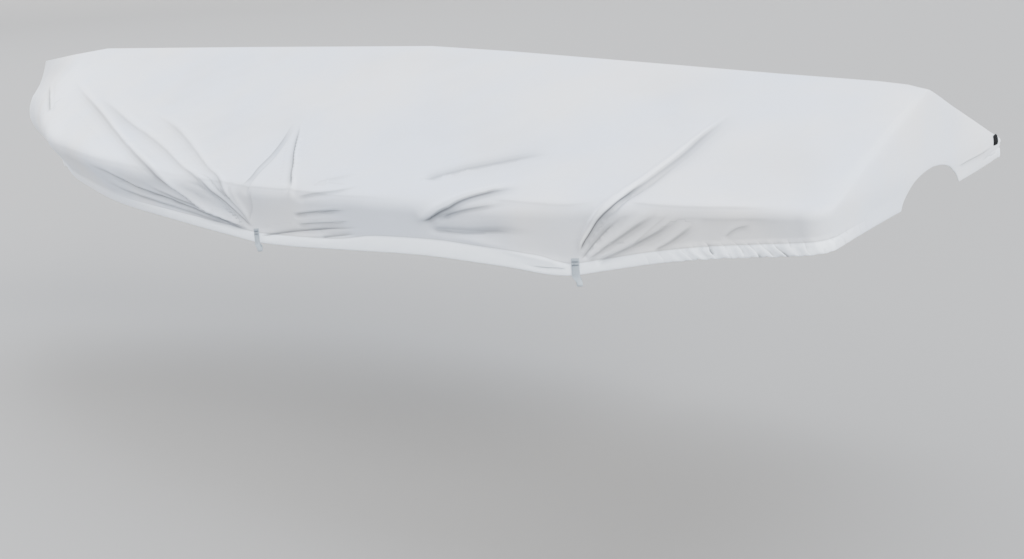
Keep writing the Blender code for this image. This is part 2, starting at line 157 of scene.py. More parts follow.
RIDGE = (
    # x      height
    (-2.508, -0.033),
    (-2.250, -0.004),
    (-1.976, 0.022),
    (-0.990, 0.019),
    (0.000, 0.0133),
    (0.350, -0.007),
    (0.950, -0.050),
    (1.350, -0.079),
    (1.650, -0.098),
    (1.795, -0.112),
)

# ---------------------------------------------------------------------------------------------------------
# Folds. Routes are (x along the gunwale, distance up the cloth from the hem edge), from the tab outwards.
# Left and right are as seen from outside, walking along the route. Lean moves width from left to right.
# ---------------------------------------------------------------------------------------------------------
FOLDS = (
    # name             kind      height  widths at ends  lean  route
    ("bow tension", "ridge", 0.015, 0.012, 0.05, 0.35,
     ((-0.14, 0.04), (-0.27, 0.062), (-0.4, 0.098), (-0.51, 0.15), (-0.64, 0.193), (-0.93, 0.283),
      (-1.36, 0.409), (-1.66, 0.474), (-2.3, 0.54))),
    ("fore fan high", "ridge", 0.009, 0.01, 0.04, 0.35,
     ((-0.13, 0.045), (-0.17, 0.13), (-0.23, 0.195), (-0.36, 0.25), (-0.57, 0.345), (-0.72, 0.405),
      (-1.04, 0.496), (-1.4, 0.58))),
    ("fore fan middle", "ridge", 0.007, 0.012, 0.034, 0.35,
     ((-0.15, 0.045), (-0.29, 0.16), (-0.36, 0.193), (-0.46, 0.223), (-0.7, 0.306), (-0.93, 0.371),
      (-1.23, 0.439))),
    ("fore fan faint", "ridge", 0.0045, 0.024, 0.034, 0.3,
     ((-0.72, 0.405), (-1.0, 0.47), (-1.3, 0.525), (-1.65, 0.57))),
    ("fore short pull", "ridge", 0.005, 0.009, 0.02, 0.2,
     ((-0.125, 0.05), (-0.145, 0.11), (-0.18, 0.19), (-0.24, 0.29))),
    ("bow skirt tuck", "trough", 0.0095, 0.008, 0.016, -0.25,
     ((-0.15, 0.026), (-0.3, 0.04), (-0.44, 0.055), (-0.64, 0.08), (-0.81, 0.098), (-1.0, 0.142),
      (-1.25, 0.16))),
    ("bow skirt ridge", "ridge", 0.0065, 0.009, 0.018, 0.25,
     ((-0.14, 0.04), (-0.31, 0.074), (-0.46, 0.094), (-0.61, 0.115), (-0.76, 0.148))),
    ("bow skirt crease", "trough", 0.0065, 0.008, 0.014, -0.2,
     ((-0.15, 0.052), (-0.2, 0.08), (-0.26, 0.125), (-0.34, 0.16), (-0.46, 0.172))),
    ("bow hem crease", "trough", 0.0055, 0.009, 0.014, -0.2,
     ((-0.28, 0.028), (-0.46, 0.036), (-0.66, 0.045), (-0.88, 0.058), (-1.2, 0.1))),
    ("bow hollow", "trough", 0.007, 0.012, 0.024, 0.0,
     ((-1.97, 0.316), (-2.08, 0.335), (-2.19, 0.359), (-2.32, 0.405), (-2.4, 0.44))),
    ("fore dart front", "trough", 0.009, 0.016, 0.012, 0.0,
     ((-0.11, 0.15), (-0.1, 0.205), (-0.112, 0.271), (-0.122, 0.341), (-0.152, 0.429), (-0.21, 0.56))),
    ("fore dart back", "ridge", 0.011, 0.02, 0.012, -0.45,
     ((0.13, 0.15), (0.1, 0.215), (0.045, 0.29), (-0.015, 0.36), (-0.08, 0.44), (-0.19, 0.57))),
    ("fore dart nick", "trough", 0.0055, 0.007, 0.006, 0.0,
     ((0.075, 0.21), (0.04, 0.258), (-0.01, 0.315), (-0.06, 0.38), (-0.11, 0.44))),
    ("midships hem tuck", "trough", 0.0075, 0.008, 0.012, 0.25,
     ((-0.08, 0.018), (0.03, 0.034), (0.16, 0.049), (0.36, 0.066))),
    ("midships hem nick", "trough", 0.0045, 0.006, 0.009, 0.2,
     ((0.14, 0.026), (0.22, 0.032), (0.3, 0.04), (0.37, 0.048))),
    ("midships skirt mid", "trough", 0.005, 0.009, 0.012, 0.2,
     ((0.1, 0.068), (0.16, 0.074), (0.26, 0.08), (0.37, 0.092))),
    ("midships skirt low", "trough", 0.0055, 0.009, 0.013, 0.2,
     ((0.1, 0.104), (0.15, 0.108), (0.24, 0.117), (0.36, 0.127))),
    ("midships skirt high", "trough", 0.0055, 0.012, 0.016, 0.2,
     ((0.14, 0.16), (0.2, 0.172), (0.29, 0.189), (0.38, 0.208))),
    ("midships slope dip", "trough", 0.0045, 0.014, 0.018, 0.0,
     ((0.16, 0.228), (0.2, 0.24), (0.26, 0.262), (0.33, 0.284))),
    ("scoop lip", "ridge", 0.0115, 0.018, 0.034, -0.45,
     ((0.62, 0.106), (0.67, 0.13), (0.71, 0.151), (0.75, 0.175), (0.79, 0.205), (0.85, 0.236),
      (0.92, 0.265), (1.05, 0.283))),
    ("scoop crease", "trough", 0.007, 0.01, 0.016, 0.1,
     ((0.69, 0.112), (0.73, 0.126), (0.79, 0.146), (0.86, 0.166), (0.96, 0.186))),
    ("scoop floor", "trough", 0.0085, 0.012, 0.02, 0.15,
     ((0.65, 0.074), (0.72, 0.08), (0.82, 0.087), (0.97, 0.106), (1.04, 0.112))),
    ("scoop far hollow", "trough", 0.012, 0.024, 0.03, 0.0,
     ((0.56, 0.258), (0.62, 0.278), (0.68, 0.322), (0.76, 0.362), (0.86, 0.41), (0.97, 0.436))),
    ("aft hem swell", "ridge", 0.006, 0.012, 0.016, 0.0,
     ((1.085, 0.036), (0.99, 0.04), (0.89, 0.05), (0.8, 0.06), (0.7, 0.07))),
    ("aft hem pinch", "trough", 0.003, 0.005, 0.007, 0.0,
     ((1.1, 0.02), (1.06, 0.019), (1.01, 0.015), (0.95, 0.012))),
    ("aft crease", "ridge", 0.0125, 0.009, 0.017, 0.3,
     ((1.13, 0.052), (1.151, 0.092), (1.168, 0.117), (1.199, 0.15), (1.229, 0.176), (1.248, 0.208),
      (1.268, 0.272), (1.29, 0.37), (1.303, 0.47), (1.318, 0.6), (1.335, 0.7))),
    ("aft crease cut", "trough", 0.009, 0.006, 0.012, 0.3,
     ((1.147, 0.058), (1.173, 0.085), (1.194, 0.106), (1.226, 0.137), (1.259, 0.161), (1.279, 0.198),
      (1.302, 0.27), (1.322, 0.39))),
    ("aft fan tuck", "trough", 0.0075, 0.007, 0.014, 0.2,
     ((1.146, 0.036), (1.195, 0.077), (1.235, 0.105), (1.27, 0.127), (1.33, 0.15))),
    ("aft fan ridge", "ridge", 0.0065, 0.008, 0.015, 0.1,
     ((1.15, 0.04), (1.2, 0.07), (1.25, 0.09), (1.31, 0.122), (1.38, 0.15))),
    ("aft fan low ridge", "ridge", 0.007, 0.008, 0.018, 0.25,
     ((1.16, 0.034), (1.22, 0.048), (1.29, 0.064), (1.36, 0.092), (1.44, 0.13))),
    ("aft fan low tuck", "trough", 0.0065, 0.009, 0.016, 0.1,
     ((1.18, 0.022), (1.28, 0.046), (1.35, 0.07), (1.41, 0.096), (1.48, 0.12))),
    ("aft skirt nick", "trough", 0.003, 0.008, 0.01, 0.1, ((1.535, 0.05), (1.57, 0.068), (1.61, 0.08))),
    ("top long pull", "ridge", 0.006, 0.035, 0.06, 0.0,
     ((-0.24, 0.614), (-0.04, 0.708), (0.2, 0.857), (0.39, 0.935))),
)


# Sharp crease lines beside those folds, as painted shade and painted highlight. Dark and light are how
# strongly the cloth's colour is darkened and lightened on the two sides of the line; side is 1 where the dark
# lies to the left of the route, -1 to the right.
CREASES = (
    # name             dark  light widths at ends  side  route
    ("bow tension", 0.66, 1.0, 0.012, 0.026, 1,
     ((-0.14, 0.031), (-0.27, 0.052), (-0.4, 0.086), (-0.51, 0.138), (-0.64, 0.181), (-0.78, 0.222),
      (-0.93, 0.271), (-1.12, 0.332), (-1.36, 0.397), (-1.63, 0.455), (-2.1, 0.49))),
    ("second pull", 0.48, 0.9, 0.012, 0.028, 1,
     ((-0.29, 0.148), (-0.36, 0.183), (-0.46, 0.213), (-0.7, 0.296), (-0.93, 0.361), (-1.23, 0.429),
      (-1.6, 0.49))),
    ("third pull", 0.44, 0.9, 0.01, 0.024, 1,
     ((-0.17, 0.13), (-0.23, 0.185), (-0.36, 0.24), (-0.57, 0.335), (-0.72, 0.395), (-1.04, 0.486))),
    ("fan inner", 0.5, 0.6, 0.006, 0.011, 1,
     ((-0.13, 0.049), (-0.16, 0.104), (-0.2, 0.149), (-0.26, 0.188))),
    ("skirt long", 0.8, 0.8, 0.008, 0.016, 1,
     ((-0.14, 0.028), (-0.3, 0.044), (-0.44, 0.059), (-0.64, 0.086), (-0.81, 0.105), (-1.0, 0.148),
      (-1.22, 0.167))),
    ("fan outer", 0.66, 0.7, 0.007, 0.013, 1,
     ((-0.13, 0.043), (-0.18, 0.089), (-0.23, 0.132), (-0.29, 0.166), (-0.4, 0.2))),
    ("skirt low", 0.48, 0.6, 0.009, 0.013, 1,
     ((-0.26, 0.032), (-0.46, 0.041), (-0.66, 0.05), (-0.88, 0.064), (-1.14, 0.098))),
    ("dart front", 0.62, 0.2, 0.009, 0.009, -1,
     ((-0.127, 0.189), (-0.118, 0.223), (-0.13, 0.275), (-0.141, 0.35), (-0.172, 0.439), (-0.226, 0.556))),
    ("skirt high", 0.62, 0.7, 0.008, 0.013, 1,
     ((-0.16, 0.035), (-0.31, 0.065), (-0.46, 0.085), (-0.61, 0.104), (-0.74, 0.132))),
    ("hem pull aft", 0.78, 0.6, 0.005, 0.008, 1,
     ((-0.09, 0.02), (0.03, 0.039), (0.16, 0.054), (0.3, 0.065), (0.4, 0.073))),
    ("dart back", 1.0, 1.0, 0.009, 0.008, 1,
     ((0.116, 0.192), (0.097, 0.217), (0.057, 0.26), (0.028, 0.3), (-0.031, 0.368), (-0.09, 0.445),
      (-0.185, 0.551))),
    ("skirt stroke", 0.6, 0.8, 0.008, 0.01, -1,
     ((0.1, 0.107), (0.14, 0.112), (0.23, 0.121), (0.36, 0.131))),
    ("gunwale stroke", 0.34, 0.5, 0.011, 0.013, -1,
     ((0.15, 0.17), (0.19, 0.179), (0.29, 0.196), (0.39, 0.22))),
    ("hem pull short", 0.6, 0.5, 0.005, 0.007, 1,
     ((0.2, 0.032), (0.24, 0.036), (0.29, 0.041), (0.36, 0.05))),
    ("slope stroke", 0.2, 0.3, 0.014, 0.016, -1,
     ((0.17, 0.232), (0.19, 0.241), (0.25, 0.266), (0.31, 0.287))),
    ("scoop lip", 0.95, 0.9, 0.013, 0.026, -1,
     ((0.638, 0.106), (0.671, 0.119), (0.689, 0.129), (0.715, 0.143), (0.747, 0.158), (0.768, 0.173),
      (0.792, 0.19), (0.838, 0.216), (0.89, 0.239), (0.95, 0.255))),
    ("skirt middle", 0.46, 0.4, 0.006, 0.008, -1,
     ((0.11, 0.074), (0.15, 0.077), (0.26, 0.083), (0.36, 0.095))),
    ("scoop floor", 0.46, 0.5, 0.018, 0.022, 1,
     ((0.66, 0.071), (0.69, 0.073), (0.74, 0.075), (0.782, 0.079), (0.87, 0.09), (0.975, 0.103))),
    ("far hollow", 0.5, 0.6, 0.02, 0.026, 1,
     ((0.57, 0.262), (0.598, 0.276), (0.62, 0.292), (0.68, 0.338), (0.75, 0.376), (0.854, 0.424),
      (0.93, 0.442))),
    ("aft cut", 1.0, 1.0, 0.006, 0.01, -1,
     ((1.14, 0.06), (1.16, 0.089), (1.181, 0.111), (1.213, 0.144), (1.23, 0.156), (1.247, 0.168),
      (1.267, 0.2), (1.277, 0.24), (1.288, 0.29))),
    ("scoop inner", 0.46, 0.6, 0.009, 0.013, -1,
     ((0.71, 0.122), (0.73, 0.13), (0.78, 0.149), (0.84, 0.167), (0.91, 0.185))),
    ("fan low", 0.6, 1.0, 0.01, 0.018, -1,
     ((1.16, 0.035), (1.2, 0.055), (1.25, 0.078), (1.33, 0.116), (1.39, 0.142))),
    ("aft band", 0.66, 0.9, 0.018, 0.03, -1,
     ((1.258, 0.178), (1.274, 0.226), (1.285, 0.266), (1.296, 0.314), (1.306, 0.366), (1.315, 0.43),
      (1.323, 0.514), (1.335, 0.6), (1.35, 0.66))),
    ("fan hem", 0.56, 0.8, 0.009, 0.015, -1, ((1.35, 0.034), (1.38, 0.044), (1.43, 0.071), (1.475, 0.1))),
    ("fan cut", 0.6, 0.9, 0.007, 0.013, 1, ((1.14, 0.038), (1.19, 0.08), (1.23, 0.109), (1.275, 0.136))),
    ("aft nick", 0.34, 0.5, 0.009, 0.013, -1, ((1.54, 0.052), (1.57, 0.074), (1.62, 0.087))),
    ("stem nick", 0.95, 0.9, 0.012, 0.016, 1,
     ((-2.02, 0.308), (-2.06, 0.316), (-2.15, 0.336), (-2.29, 0.364), (-2.4, 0.402), (-2.5, 0.452))),
    ("stem nick foot", 0.4, 0.5, 0.008, 0.012, -1,
     ((-2.045, 0.314), (-2.065, 0.33), (-2.07, 0.345), (-2.04, 0.374), (-2.0, 0.4))),
    ("fan middle", 0.56, 0.9, 0.009, 0.017, -1,
     ((1.18, 0.025), (1.28, 0.051), (1.35, 0.076), (1.41, 0.102), (1.45, 0.116))),
    ("dart foot", 0.26, 0.2, 0.01, 0.014, 1,
     ((-0.13, 0.062), (-0.125, 0.08), (-0.1, 0.112), (-0.07, 0.196))),
    ("hem fan fore", 0.48, 0.4, 0.004, 0.005, 1,
     ((1.095, 0.018), (1.07, 0.019), (1.04, 0.017), (0.98, 0.014))),
    ("fan steep", 0.26, 0.4, 0.008, 0.012, -1, ((1.29, 0.056), (1.31, 0.069), (1.36, 0.101), (1.42, 0.14))),
    ("aft gunwale", 0.3, 0.3, 0.014, 0.018, -1,
     ((1.29, 0.18), (1.38, 0.155), (1.49, 0.139), (1.63, 0.13), (1.71, 0.117))),
    ("gunwale", 0.28, 0.3, 0.016, 0.018, -1,
     ((-0.42, 0.186), (-0.07, 0.194), (0.14, 0.189), (0.35, 0.176), (0.62, 0.164))),
    ("gunwale by the aft tab", 0.26, 0.3, 0.016, 0.018, -1,
     ((0.88, 0.196), (1.0, 0.2), (1.1, 0.2), (1.22, 0.2))),
    ("aft low step", 0.16, 0.2, 0.016, 0.018, -1,
     ((1.48, 0.112), (1.54, 0.106), (1.64, 0.1), (1.71, 0.09))),
    ("bow gunwale", 0.16, 0.2, 0.024, 0.03, 1,
     ((-0.35, 0.192), (-0.6, 0.186), (-0.9, 0.19), (-1.3, 0.195), (-1.75, 0.2), (-2.2, 0.205))),
)


# ---------------------------------------------------------------------------------------------------------
# Small helpers
# ---------------------------------------------------------------------------------------------------------
def hermite(x, table, column):
    """Smooth curve through a table's column: cubic Hermite pieces with central-difference slopes."""
    rows = np.array(table)
    xs = rows[:, 0]
    ys = rows[:, column]
    x = np.clip(x, xs[0], xs[-1])
    slope = np.gradient(ys, xs)
    k = np.clip(np.searchsorted(xs, x) - 1, 0, len(xs) - 2)
    step = xs[k + 1] - xs[k]
    t = (x - xs[k]) / step
    return (
        (2 * t**3 - 3 * t**2 + 1) * ys[k]
        + (t**3 - 2 * t**2 + t) * step * slope[k]
        + (3 * t**2 - 2 * t**3) * ys[k + 1]
        + (t**3 - t**2) * step * slope[k + 1]
    )


def unit(vectors):
    """Vectors scaled to length one along their last axis."""
    return vectors / np.maximum(np.linalg.norm(vectors, axis=-1, keepdims=True), 1e-9)


def smooth(t):
    """Smoothstep of t, clipped to 0..1."""
    t = np.clip(t, 0, 1)
    return t * t * (3 - 2 * t)


def interpolate(places, known, values):
    """Rows of values, known at increasing places, read at other places in straight lines between them."""
    return np.stack([np.interp(places, known, values[:, axis]) for axis in range(values.shape[1])], axis=-1)


def distances_along(points):
    """Distance along a line of points, from the first to each of them."""
    return np.concatenate([[0], np.cumsum(np.linalg.norm(np.diff(points, axis=0), axis=1))])


def grid_quads(index, after):
    """Quads between neighbouring rows of an index grid; after is the grid's neighbour along each row."""
    return np.stack([index[:-1], after[:-1], after[1:], index[1:]], axis=2).reshape(-1, 4)


def linear(hex_colour):
    """sRGB hex such as 'D7DBE3' as linear RGBA."""
    parts = [int(hex_colour[i:i + 2], 16) / 255 for i in (0, 2, 4)]
    return [c / 12.92 if c <= 0.04045 else ((c + 0.055) / 1.055) ** 2.4 for c in parts] + [1.0]


def new_mesh_object(name, points, faces, material, uv=None, fields=None):
    """A smooth-shaded mesh object at the origin. faces is a list of index arrays, one array per face size."""
    mesh = bpy.data.meshes.new(name)
    sizes = np.concatenate([np.full(len(block), block.shape[1]) for block in faces])
    loops = np.concatenate([block.ravel() for block in faces])
    mesh.vertices.add(len(points))
    mesh.vertices.foreach_set("co", np.asarray(points, dtype=np.float32).ravel())
    mesh.loops.add(len(loops))
    mesh.loops.foreach_set("vertex_index", loops.astype(np.int32))
    mesh.polygons.add(len(sizes))
    starts = np.concatenate([[0], np.cumsum(sizes)[:-1]])
    mesh.polygons.foreach_set("loop_start", starts.astype(np.int32))
    mesh.update(calc_edges=True)
    mesh.validate()
    mesh.polygons.foreach_set("use_smooth", np.ones(len(mesh.polygons), dtype=bool))
    if uv is not None:
        layer = mesh.uv_layers.new(name="metres")
        index = np.zeros(len(mesh.loops), dtype=np.int32)
        mesh.loops.foreach_get("vertex_index", index)
        layer.data.foreach_set("uv", uv[index].astype(np.float32).ravel())
    for label, values in (fields or {}).items():
        kind, slot = ("FLOAT", "value") if values.ndim == 1 else ("FLOAT_VECTOR", "vector")
        attribute = mesh.attributes.new(name=label, type=kind, domain="POINT")
        attribute.data.foreach_set(slot, np.asarray(values, dtype=np.float32).ravel())
    mesh.update()
    obj = bpy.data.objects.new(name, mesh)
    bpy.context.scene.collection.objects.link(obj)
    mesh.materials.append(material)
    return obj


# ---------------------------------------------------------------------------------------------------------
# The cloth before its folds
# ---------------------------------------------------------------------------------------------------------
def side_lines(x, corner):
    """Gunwale, hem and ridge points for gunwale positions x along one side, drawn as the port side."""
    corner_hem_z, drop, widening, hem_widening = corner
    pull = smooth((x - CORNER_PULL_FROM_X) / (CORNER_X - CORNER_PULL_FROM_X))
    hem_lift = (corner_hem_z - STERN_CORNERS["port"][0]) * pull
    rake = np.exp(-(x - STEM_X) / RAKE_REACH)
    hem_x = x + STEM_RAKE_HEM * rake
    ridge_x = x + STEM_RAKE_PEAK * rake
    ridge_rows = np.array(RIDGE)
    ridge_z = np.interp(ridge_x, ridge_rows[:, 0], ridge_rows[:, 1])
    gunwale_y = hermite(x, GUNWALE, 1) + widening * pull
    gunwale = np.column_stack([x, -gunwale_y, hermite(x, GUNWALE, 2) - drop * pull])
    hem_y = hermite(hem_x, HEM, 1) + hem_widening * pull
    hem = np.column_stack([hem_x, -hem_y, hermite(hem_x, HEM, 2) + hem_lift])
    ridge = np.column_stack([ridge_x, 0 * x, ridge_z])
    return gunwale, hem, ridge


def stern_lines(turn, across, corner):
    """The same three lines round a stern corner (turn, in radians) and over the transom (across, 1 to 0)."""
    corner_hem_z, drop, widening, hem_widening = corner
    gunwale_y = GUNWALE[-1][1] - CORNER_RADIUS + widening
    hem_y = HEM[-1][1] - CORNER_RADIUS + hem_widening
    transom_x = TRANSOM_X + TRANSOM_BOW * (1 - across**2)
    line_x = np.concatenate([CORNER_X + CORNER_RADIUS * np.sin(turn), transom_x])
    arc_y = CORNER_RADIUS * np.cos(turn)
    side_end_z = HEM[-1][2] + corner_hem_z - STERN_CORNERS["port"][0]
    corner_z = side_end_z + (corner_hem_z - side_end_z) * turn / (math.pi / 2)
    transom_z = TRANSOM_HEM_MIDDLE_Z + (corner_hem_z - TRANSOM_HEM_MIDDLE_Z) * across**2
    gunwale_z = STERN_GUNWALE_Z - drop * np.concatenate([0 * turn + 1, across])
    gunwale = np.column_stack([line_x, -np.concatenate([gunwale_y + arc_y, gunwale_y * across]), gunwale_z])
    hem_line_y = -np.concatenate([hem_y + arc_y, hem_y * across])
    hem = np.column_stack([line_x - TRANSOM_HEM_INSET, hem_line_y, np.concatenate([corner_z, transom_z])])
    ridge = np.tile(STERN_PEAK, (len(line_x), 1))
    return gunwale, hem, ridge


# Shares of the hem band, the skirt below the gunwale, the knee over it and the slope at which the rings lie
BAND_STEPS = np.linspace(0, 1, 11)[:-1]
SKIRT_STEPS = np.linspace(0, 1, 13)[:-1]
KNEE_STEPS = np.linspace(0, 1, 19)[:-1]
SLOPE_STEPS = np.concatenate([
    np.linspace(0, 0.55, 27)[:-1], np.linspace(0.55, 0.93, 10)[:-1], [0.93, 0.965, 0.99, 1],
])


def section_rings(gunwale, hem, ridge):
    """Cloth as rings x stations x 3: straight hem band and skirt, a quadratic curve over the gunwale, then
    the slope, which sags a little at the bow and drops away from the ridge like a tent."""
    down = unit(hem - gunwale)
    outward = unit((gunwale - ridge) * np.array([1, 1, 0]))
    hem_top = hem - down * HEM_BAND - outward * HEM_FLARE
    drop = np.linalg.norm(hem_top - gunwale, axis=1, keepdims=True)
    rise = np.linalg.norm(ridge - gunwale, axis=1, keepdims=True)
    full_bow = np.exp(-(gunwale[:, :1] - STEM_X) / FULL_BOW_REACH)
    tight = 1 - sum(
        share * smooth((gunwale[:, :1] - start) / length) for start, length, share in KNEE_TIGHTENING
    )
    reach_below = (KNEE_BELOW + KNEE_BELOW_MORE_AT_BOW * full_bow) * tight
    reach_above = (KNEE_ABOVE + KNEE_ABOVE_MORE_AT_BOW * full_bow) * tight
    below = gunwale + (hem_top - gunwale) / drop * np.minimum(reach_below, KNEE_SHARE_OF_SKIRT * drop)
    above = gunwale + (ridge - gunwale) / rise * np.minimum(reach_above, KNEE_SHARE_OF_SLOPE * rise)
    sag = BOW_SAG * np.exp(-(gunwale[:, :1] - STEM_X) / BOW_SAG_REACH) * unit(ridge - gunwale + outward)
    rings = [hem + (hem_top - hem) * t for t in BAND_STEPS]
    rings += [hem_top + (below - hem_top) * t for t in SKIRT_STEPS]
    rings += [(1 - t) ** 2 * below + 2 * t * (1 - t) * gunwale + t**2 * above for t in KNEE_STEPS]
    rings += [above + (ridge - above) * t - 4 * t * (1 - t) * sag for t in SLOPE_STEPS]
    surface = np.array(rings)
    away = np.linalg.norm((surface - ridge)[:, :, :2], axis=2)
    surface[:, :, 2] -= TENT_SLOPE * (np.sqrt(away**2 + RIDGE_ROUNDING**2) - away)
    return ease_hip(surface)


def ease_hip(surface):
    """Round the hip that runs from the stern peak to the corner, where the side slope meets the gable."""
    peak = np.array(STERN_PEAK)
    corner = np.array([TRANSOM_X, -GUNWALE[-1][1], STERN_GUNWALE_Z])
    hip = unit(corner - peak)
    along = np.clip((surface - peak) @ hip, 0, np.linalg.norm(corner - peak))
    away = np.linalg.norm(surface - peak - along[:, :, None] * hip, axis=2)
    fade = np.clip((surface[:, :, 2] - STERN_GUNWALE_Z) / HIP_FADE_HEIGHT, 0, 1)
    depth = HIP_SLOPE * (np.sqrt(away**2 + HIP_ROUNDING**2) - away) * fade
    sideways = smooth(-surface[:, :, 1:2] / (2 * HIP_MIDDLE_HALF_WIDTH))
    facing = np.array(HIP_FACING) * (np.array([1, 0, 1]) + np.array([0, 1, 0]) * sideways)
    return surface - facing * depth[:, :, None]


def climb(surface):
    """Distance up the cloth from its lower edge at every point of a rings x stations surface."""
    steps = np.linalg.norm(np.diff(surface, axis=0), axis=2)
    return np.vstack([np.zeros((1, surface.shape[1])), np.cumsum(steps, axis=0)])


def cut_out_motor(surface):
    """Raise the transom's lower edge to the half ellipse of the motor cut-out, and space the rings above it
    anew."""
    up = climb(surface)
    share = np.clip(np.abs(surface[0, :, 1]) / CUTOUT_HALF_WIDTH, 0, 1)
    arch = CUTOUT_FOOT_Z + (CUTOUT_TOP_Z - CUTOUT_FOOT_Z) * np.sqrt(1 - share**2)
    for column in np.nonzero((surface[0, :, 0] > CORNER_X) & (arch > surface[0, :, 2]) & (share < 1))[0]:
        start = np.interp(arch[column], surface[:, column, 2], up[:, column])
        total = up[-1, column]
        places = up[:, column] + start * (1 - up[:, column] / total) ** 2
        surface[:, column] = interpolate(places, up[:, column], surface[:, column])
    return surface


def crowded_stations(count):
    """Places along the gunwale for the side's sections, close together by stem, tabs and stern."""
    x = np.linspace(STEM_X, CORNER_X, CROWDING_SAMPLES)
    density = 1 + STEM_CROWDING * np.exp(-(x - STEM_X) / STEM_CROWDING_REACH)
    density += STERN_CROWDING * smooth((x - STERN_CROWDING_FROM_X) / STERN_CROWDING_OVER)
    for _, tab_x in TABS:
        density += TAB_CROWDING * np.exp(-(((x - tab_x) / TAB_CROWDING_REACH) ** 2))
    counted = np.concatenate([[0], np.cumsum((density[1:] + density[:-1]) / 2)])
    return np.interp(np.linspace(0, counted[-1], count), counted, x)


CROWDING_SAMPLES = 3000
# How many more sections lie by the stem, the stern and the tabs, as shares of the evenly spaced ones, and
# over how many metres
STEM_CROWDING, STEM_CROWDING_REACH = 1.2, 0.12
STERN_CROWDING, STERN_CROWDING_FROM_X, STERN_CROWDING_OVER = 1.1, 0.5, 0.5
TAB_CROWDING, TAB_CROWDING_REACH = 1.7, 0.24


def transom_places(count):
    """Shares of the way across the transom from the corner (1) to the middle (0), close together by the
    foot of the cut-out."""
    foot = CUTOUT_HALF_WIDTH / (HEM[-1][1] - CORNER_RADIUS)
    outer = foot + (1 - foot) * (1 - np.sin(np.linspace(0, math.pi / 2, count // 2 + 1))[1:])
    inner = foot * np.cos(np.linspace(0, math.pi / 2, count - count // 2 + 1))[1:]
    return np.concatenate([outer, inner])


def half_surface(corner, stations, corner_count, transom_count):
    """One half of the cloth before its folds, drawn as the port half, from stem to the transom's middle."""
    side = side_lines(stations, corner)
    turn = np.linspace(0, math.pi / 2, corner_count + 1)[1:]
    stern = stern_lines(turn, transom_places(transom_count), corner)
    lines = [np.concatenate(pair) for pair in zip(side, stern)]
    return cut_out_motor(section_rings(*lines))


def grid_normals(surface):
    """Outward unit normals of a rings x stations surface drawn as the port side."""
    up = np.gradient(surface, axis=0)
    along = np.gradient(surface, axis=1)
    normals = np.cross(along, up)
    normals[:, [0, -1], 1] = 0
    return unit(normals)


# ---------------------------------------------------------------------------------------------------------
# Folds, unevenness and the gathered hem: each gives how far the cloth moves outward at every grid point
# ---------------------------------------------------------------------------------------------------------
def place_on_side(x, up):
    """Points on the port side cloth at gunwale positions x, distances up from the hem edge."""
    columns = section_rings(*side_lines(x, STERN_CORNERS["port"]))
    climbed = climb(columns)
    return np.array([interpolate(up[i], climbed[:, i], columns[:, i]) for i in range(len(x))])


def route_points(route):
    """A route as points on the cloth: a Hermite curve through its stated places by chord length. Places of
    three numbers are points in space, for the transom."""
    rows = np.array(route)
    chord = distances_along(rows)
    table = np.column_stack([chord, rows])
    t = np.linspace(0, chord[-1], ROUTE_SAMPLES)
    curve = [hermite(t, table, column) for column in range(1, table.shape[1])]
    return np.column_stack(curve) if len(curve) == 3 else place_on_side(*curve)


def near_path(points, path, reach):
    """Which points lie in a path's bounding box, widened by reach on all sides."""
    return np.nonzero(((points > path.min(0) - reach) & (points < path.max(0) + reach)).all(1))[0]


def taper(along, rise, fall):
    """From 0 at a path's start up to 1 over the share rise of its length, and back to 0 over its share
    fall."""
    return smooth(along / rise) * smooth((1 - along) / fall)


ROUTE_SAMPLES = 44
FOLD_REACH = 0.16
FOLD_TAPER = (0.08, 0.4)
CREST_SHARPNESS = 5.0


def fold_push(points, normals, fold):
    """Outward move for one fold: exp(1 - sqrt(1 + c (gap / width)^2)) across its route, with its own width
    on each side, quick to rise at the tab and slow to fade at its end."""
    _, kind, height, width_start, width_end, lean, route = fold
    path = route_points(route)
    chosen = near_path(points, path, FOLD_REACH)
    push = np.zeros(len(points))
    if len(chosen):
        along, gap, left = beside_path(points[chosen], normals[chosen], path)
        width = (width_start + (width_end - width_start) * along) * np.where(left > 0, 1 - lean, 1 + lean)
        crest = np.exp(1 - np.sqrt(1 + CREST_SHARPNESS * (gap / width) ** 2))
        push[chosen] = height * taper(along, *FOLD_TAPER) * crest * (1 if kind == "ridge" else -1)
    return push


def painted_crease_lines(points, normals, creases):
    """Crease lines as three values at each point: distance to the left of the line in line widths, and how
    much painted shade and painted highlight the cloth's colour gets beside it there. Distances are signed, so
    the line stays thin on a coarse grid. Where two lines meet, the nearer and stronger one counts."""
    marks = np.zeros((len(points), 3))
    best = np.full(len(points), 1e-6)
    for _, dark, light, width_start, width_end, side, route in creases:
        path = route_points(route)
        chosen = near_path(points, path, CREASE_REACH)
        if len(chosen) == 0:
            continue
        along, gap, left = beside_path(points[chosen], normals[chosen], path)
        width = width_start + (width_end - width_start) * along
        fade = taper(along, *CREASE_TAPER)
        near = smooth((MARK_WIDTHS * width + MARK_MARGIN - gap) / MARK_FADE)
        weight = fade * near * np.exp(-gap / (0.5 * width + MARK_SOFTNESS)) * (dark + light)
        better = weight > best[chosen]
        row = chosen[better]
        best[row] = weight[better]
        strength = (fade * near)[better]
        marks[row, 0] = np.clip(side * left / width, -MARK_LIMIT, MARK_LIMIT)[better]
        marks[row, 1] = dark * strength
        marks[row, 2] = light * strength
    return marks


CREASE_REACH = 0.10
CREASE_TAPER = (0.10, 0.35)
MARK_LIMIT = 3.0  # in line widths, as far as the marks' profile runs
MARK_WIDTHS = 2.6  # a mark ends at this many line widths and this margin from its line, over this fade
MARK_MARGIN = 0.018
MARK_FADE = 0.012
MARK_SOFTNESS = 0.004


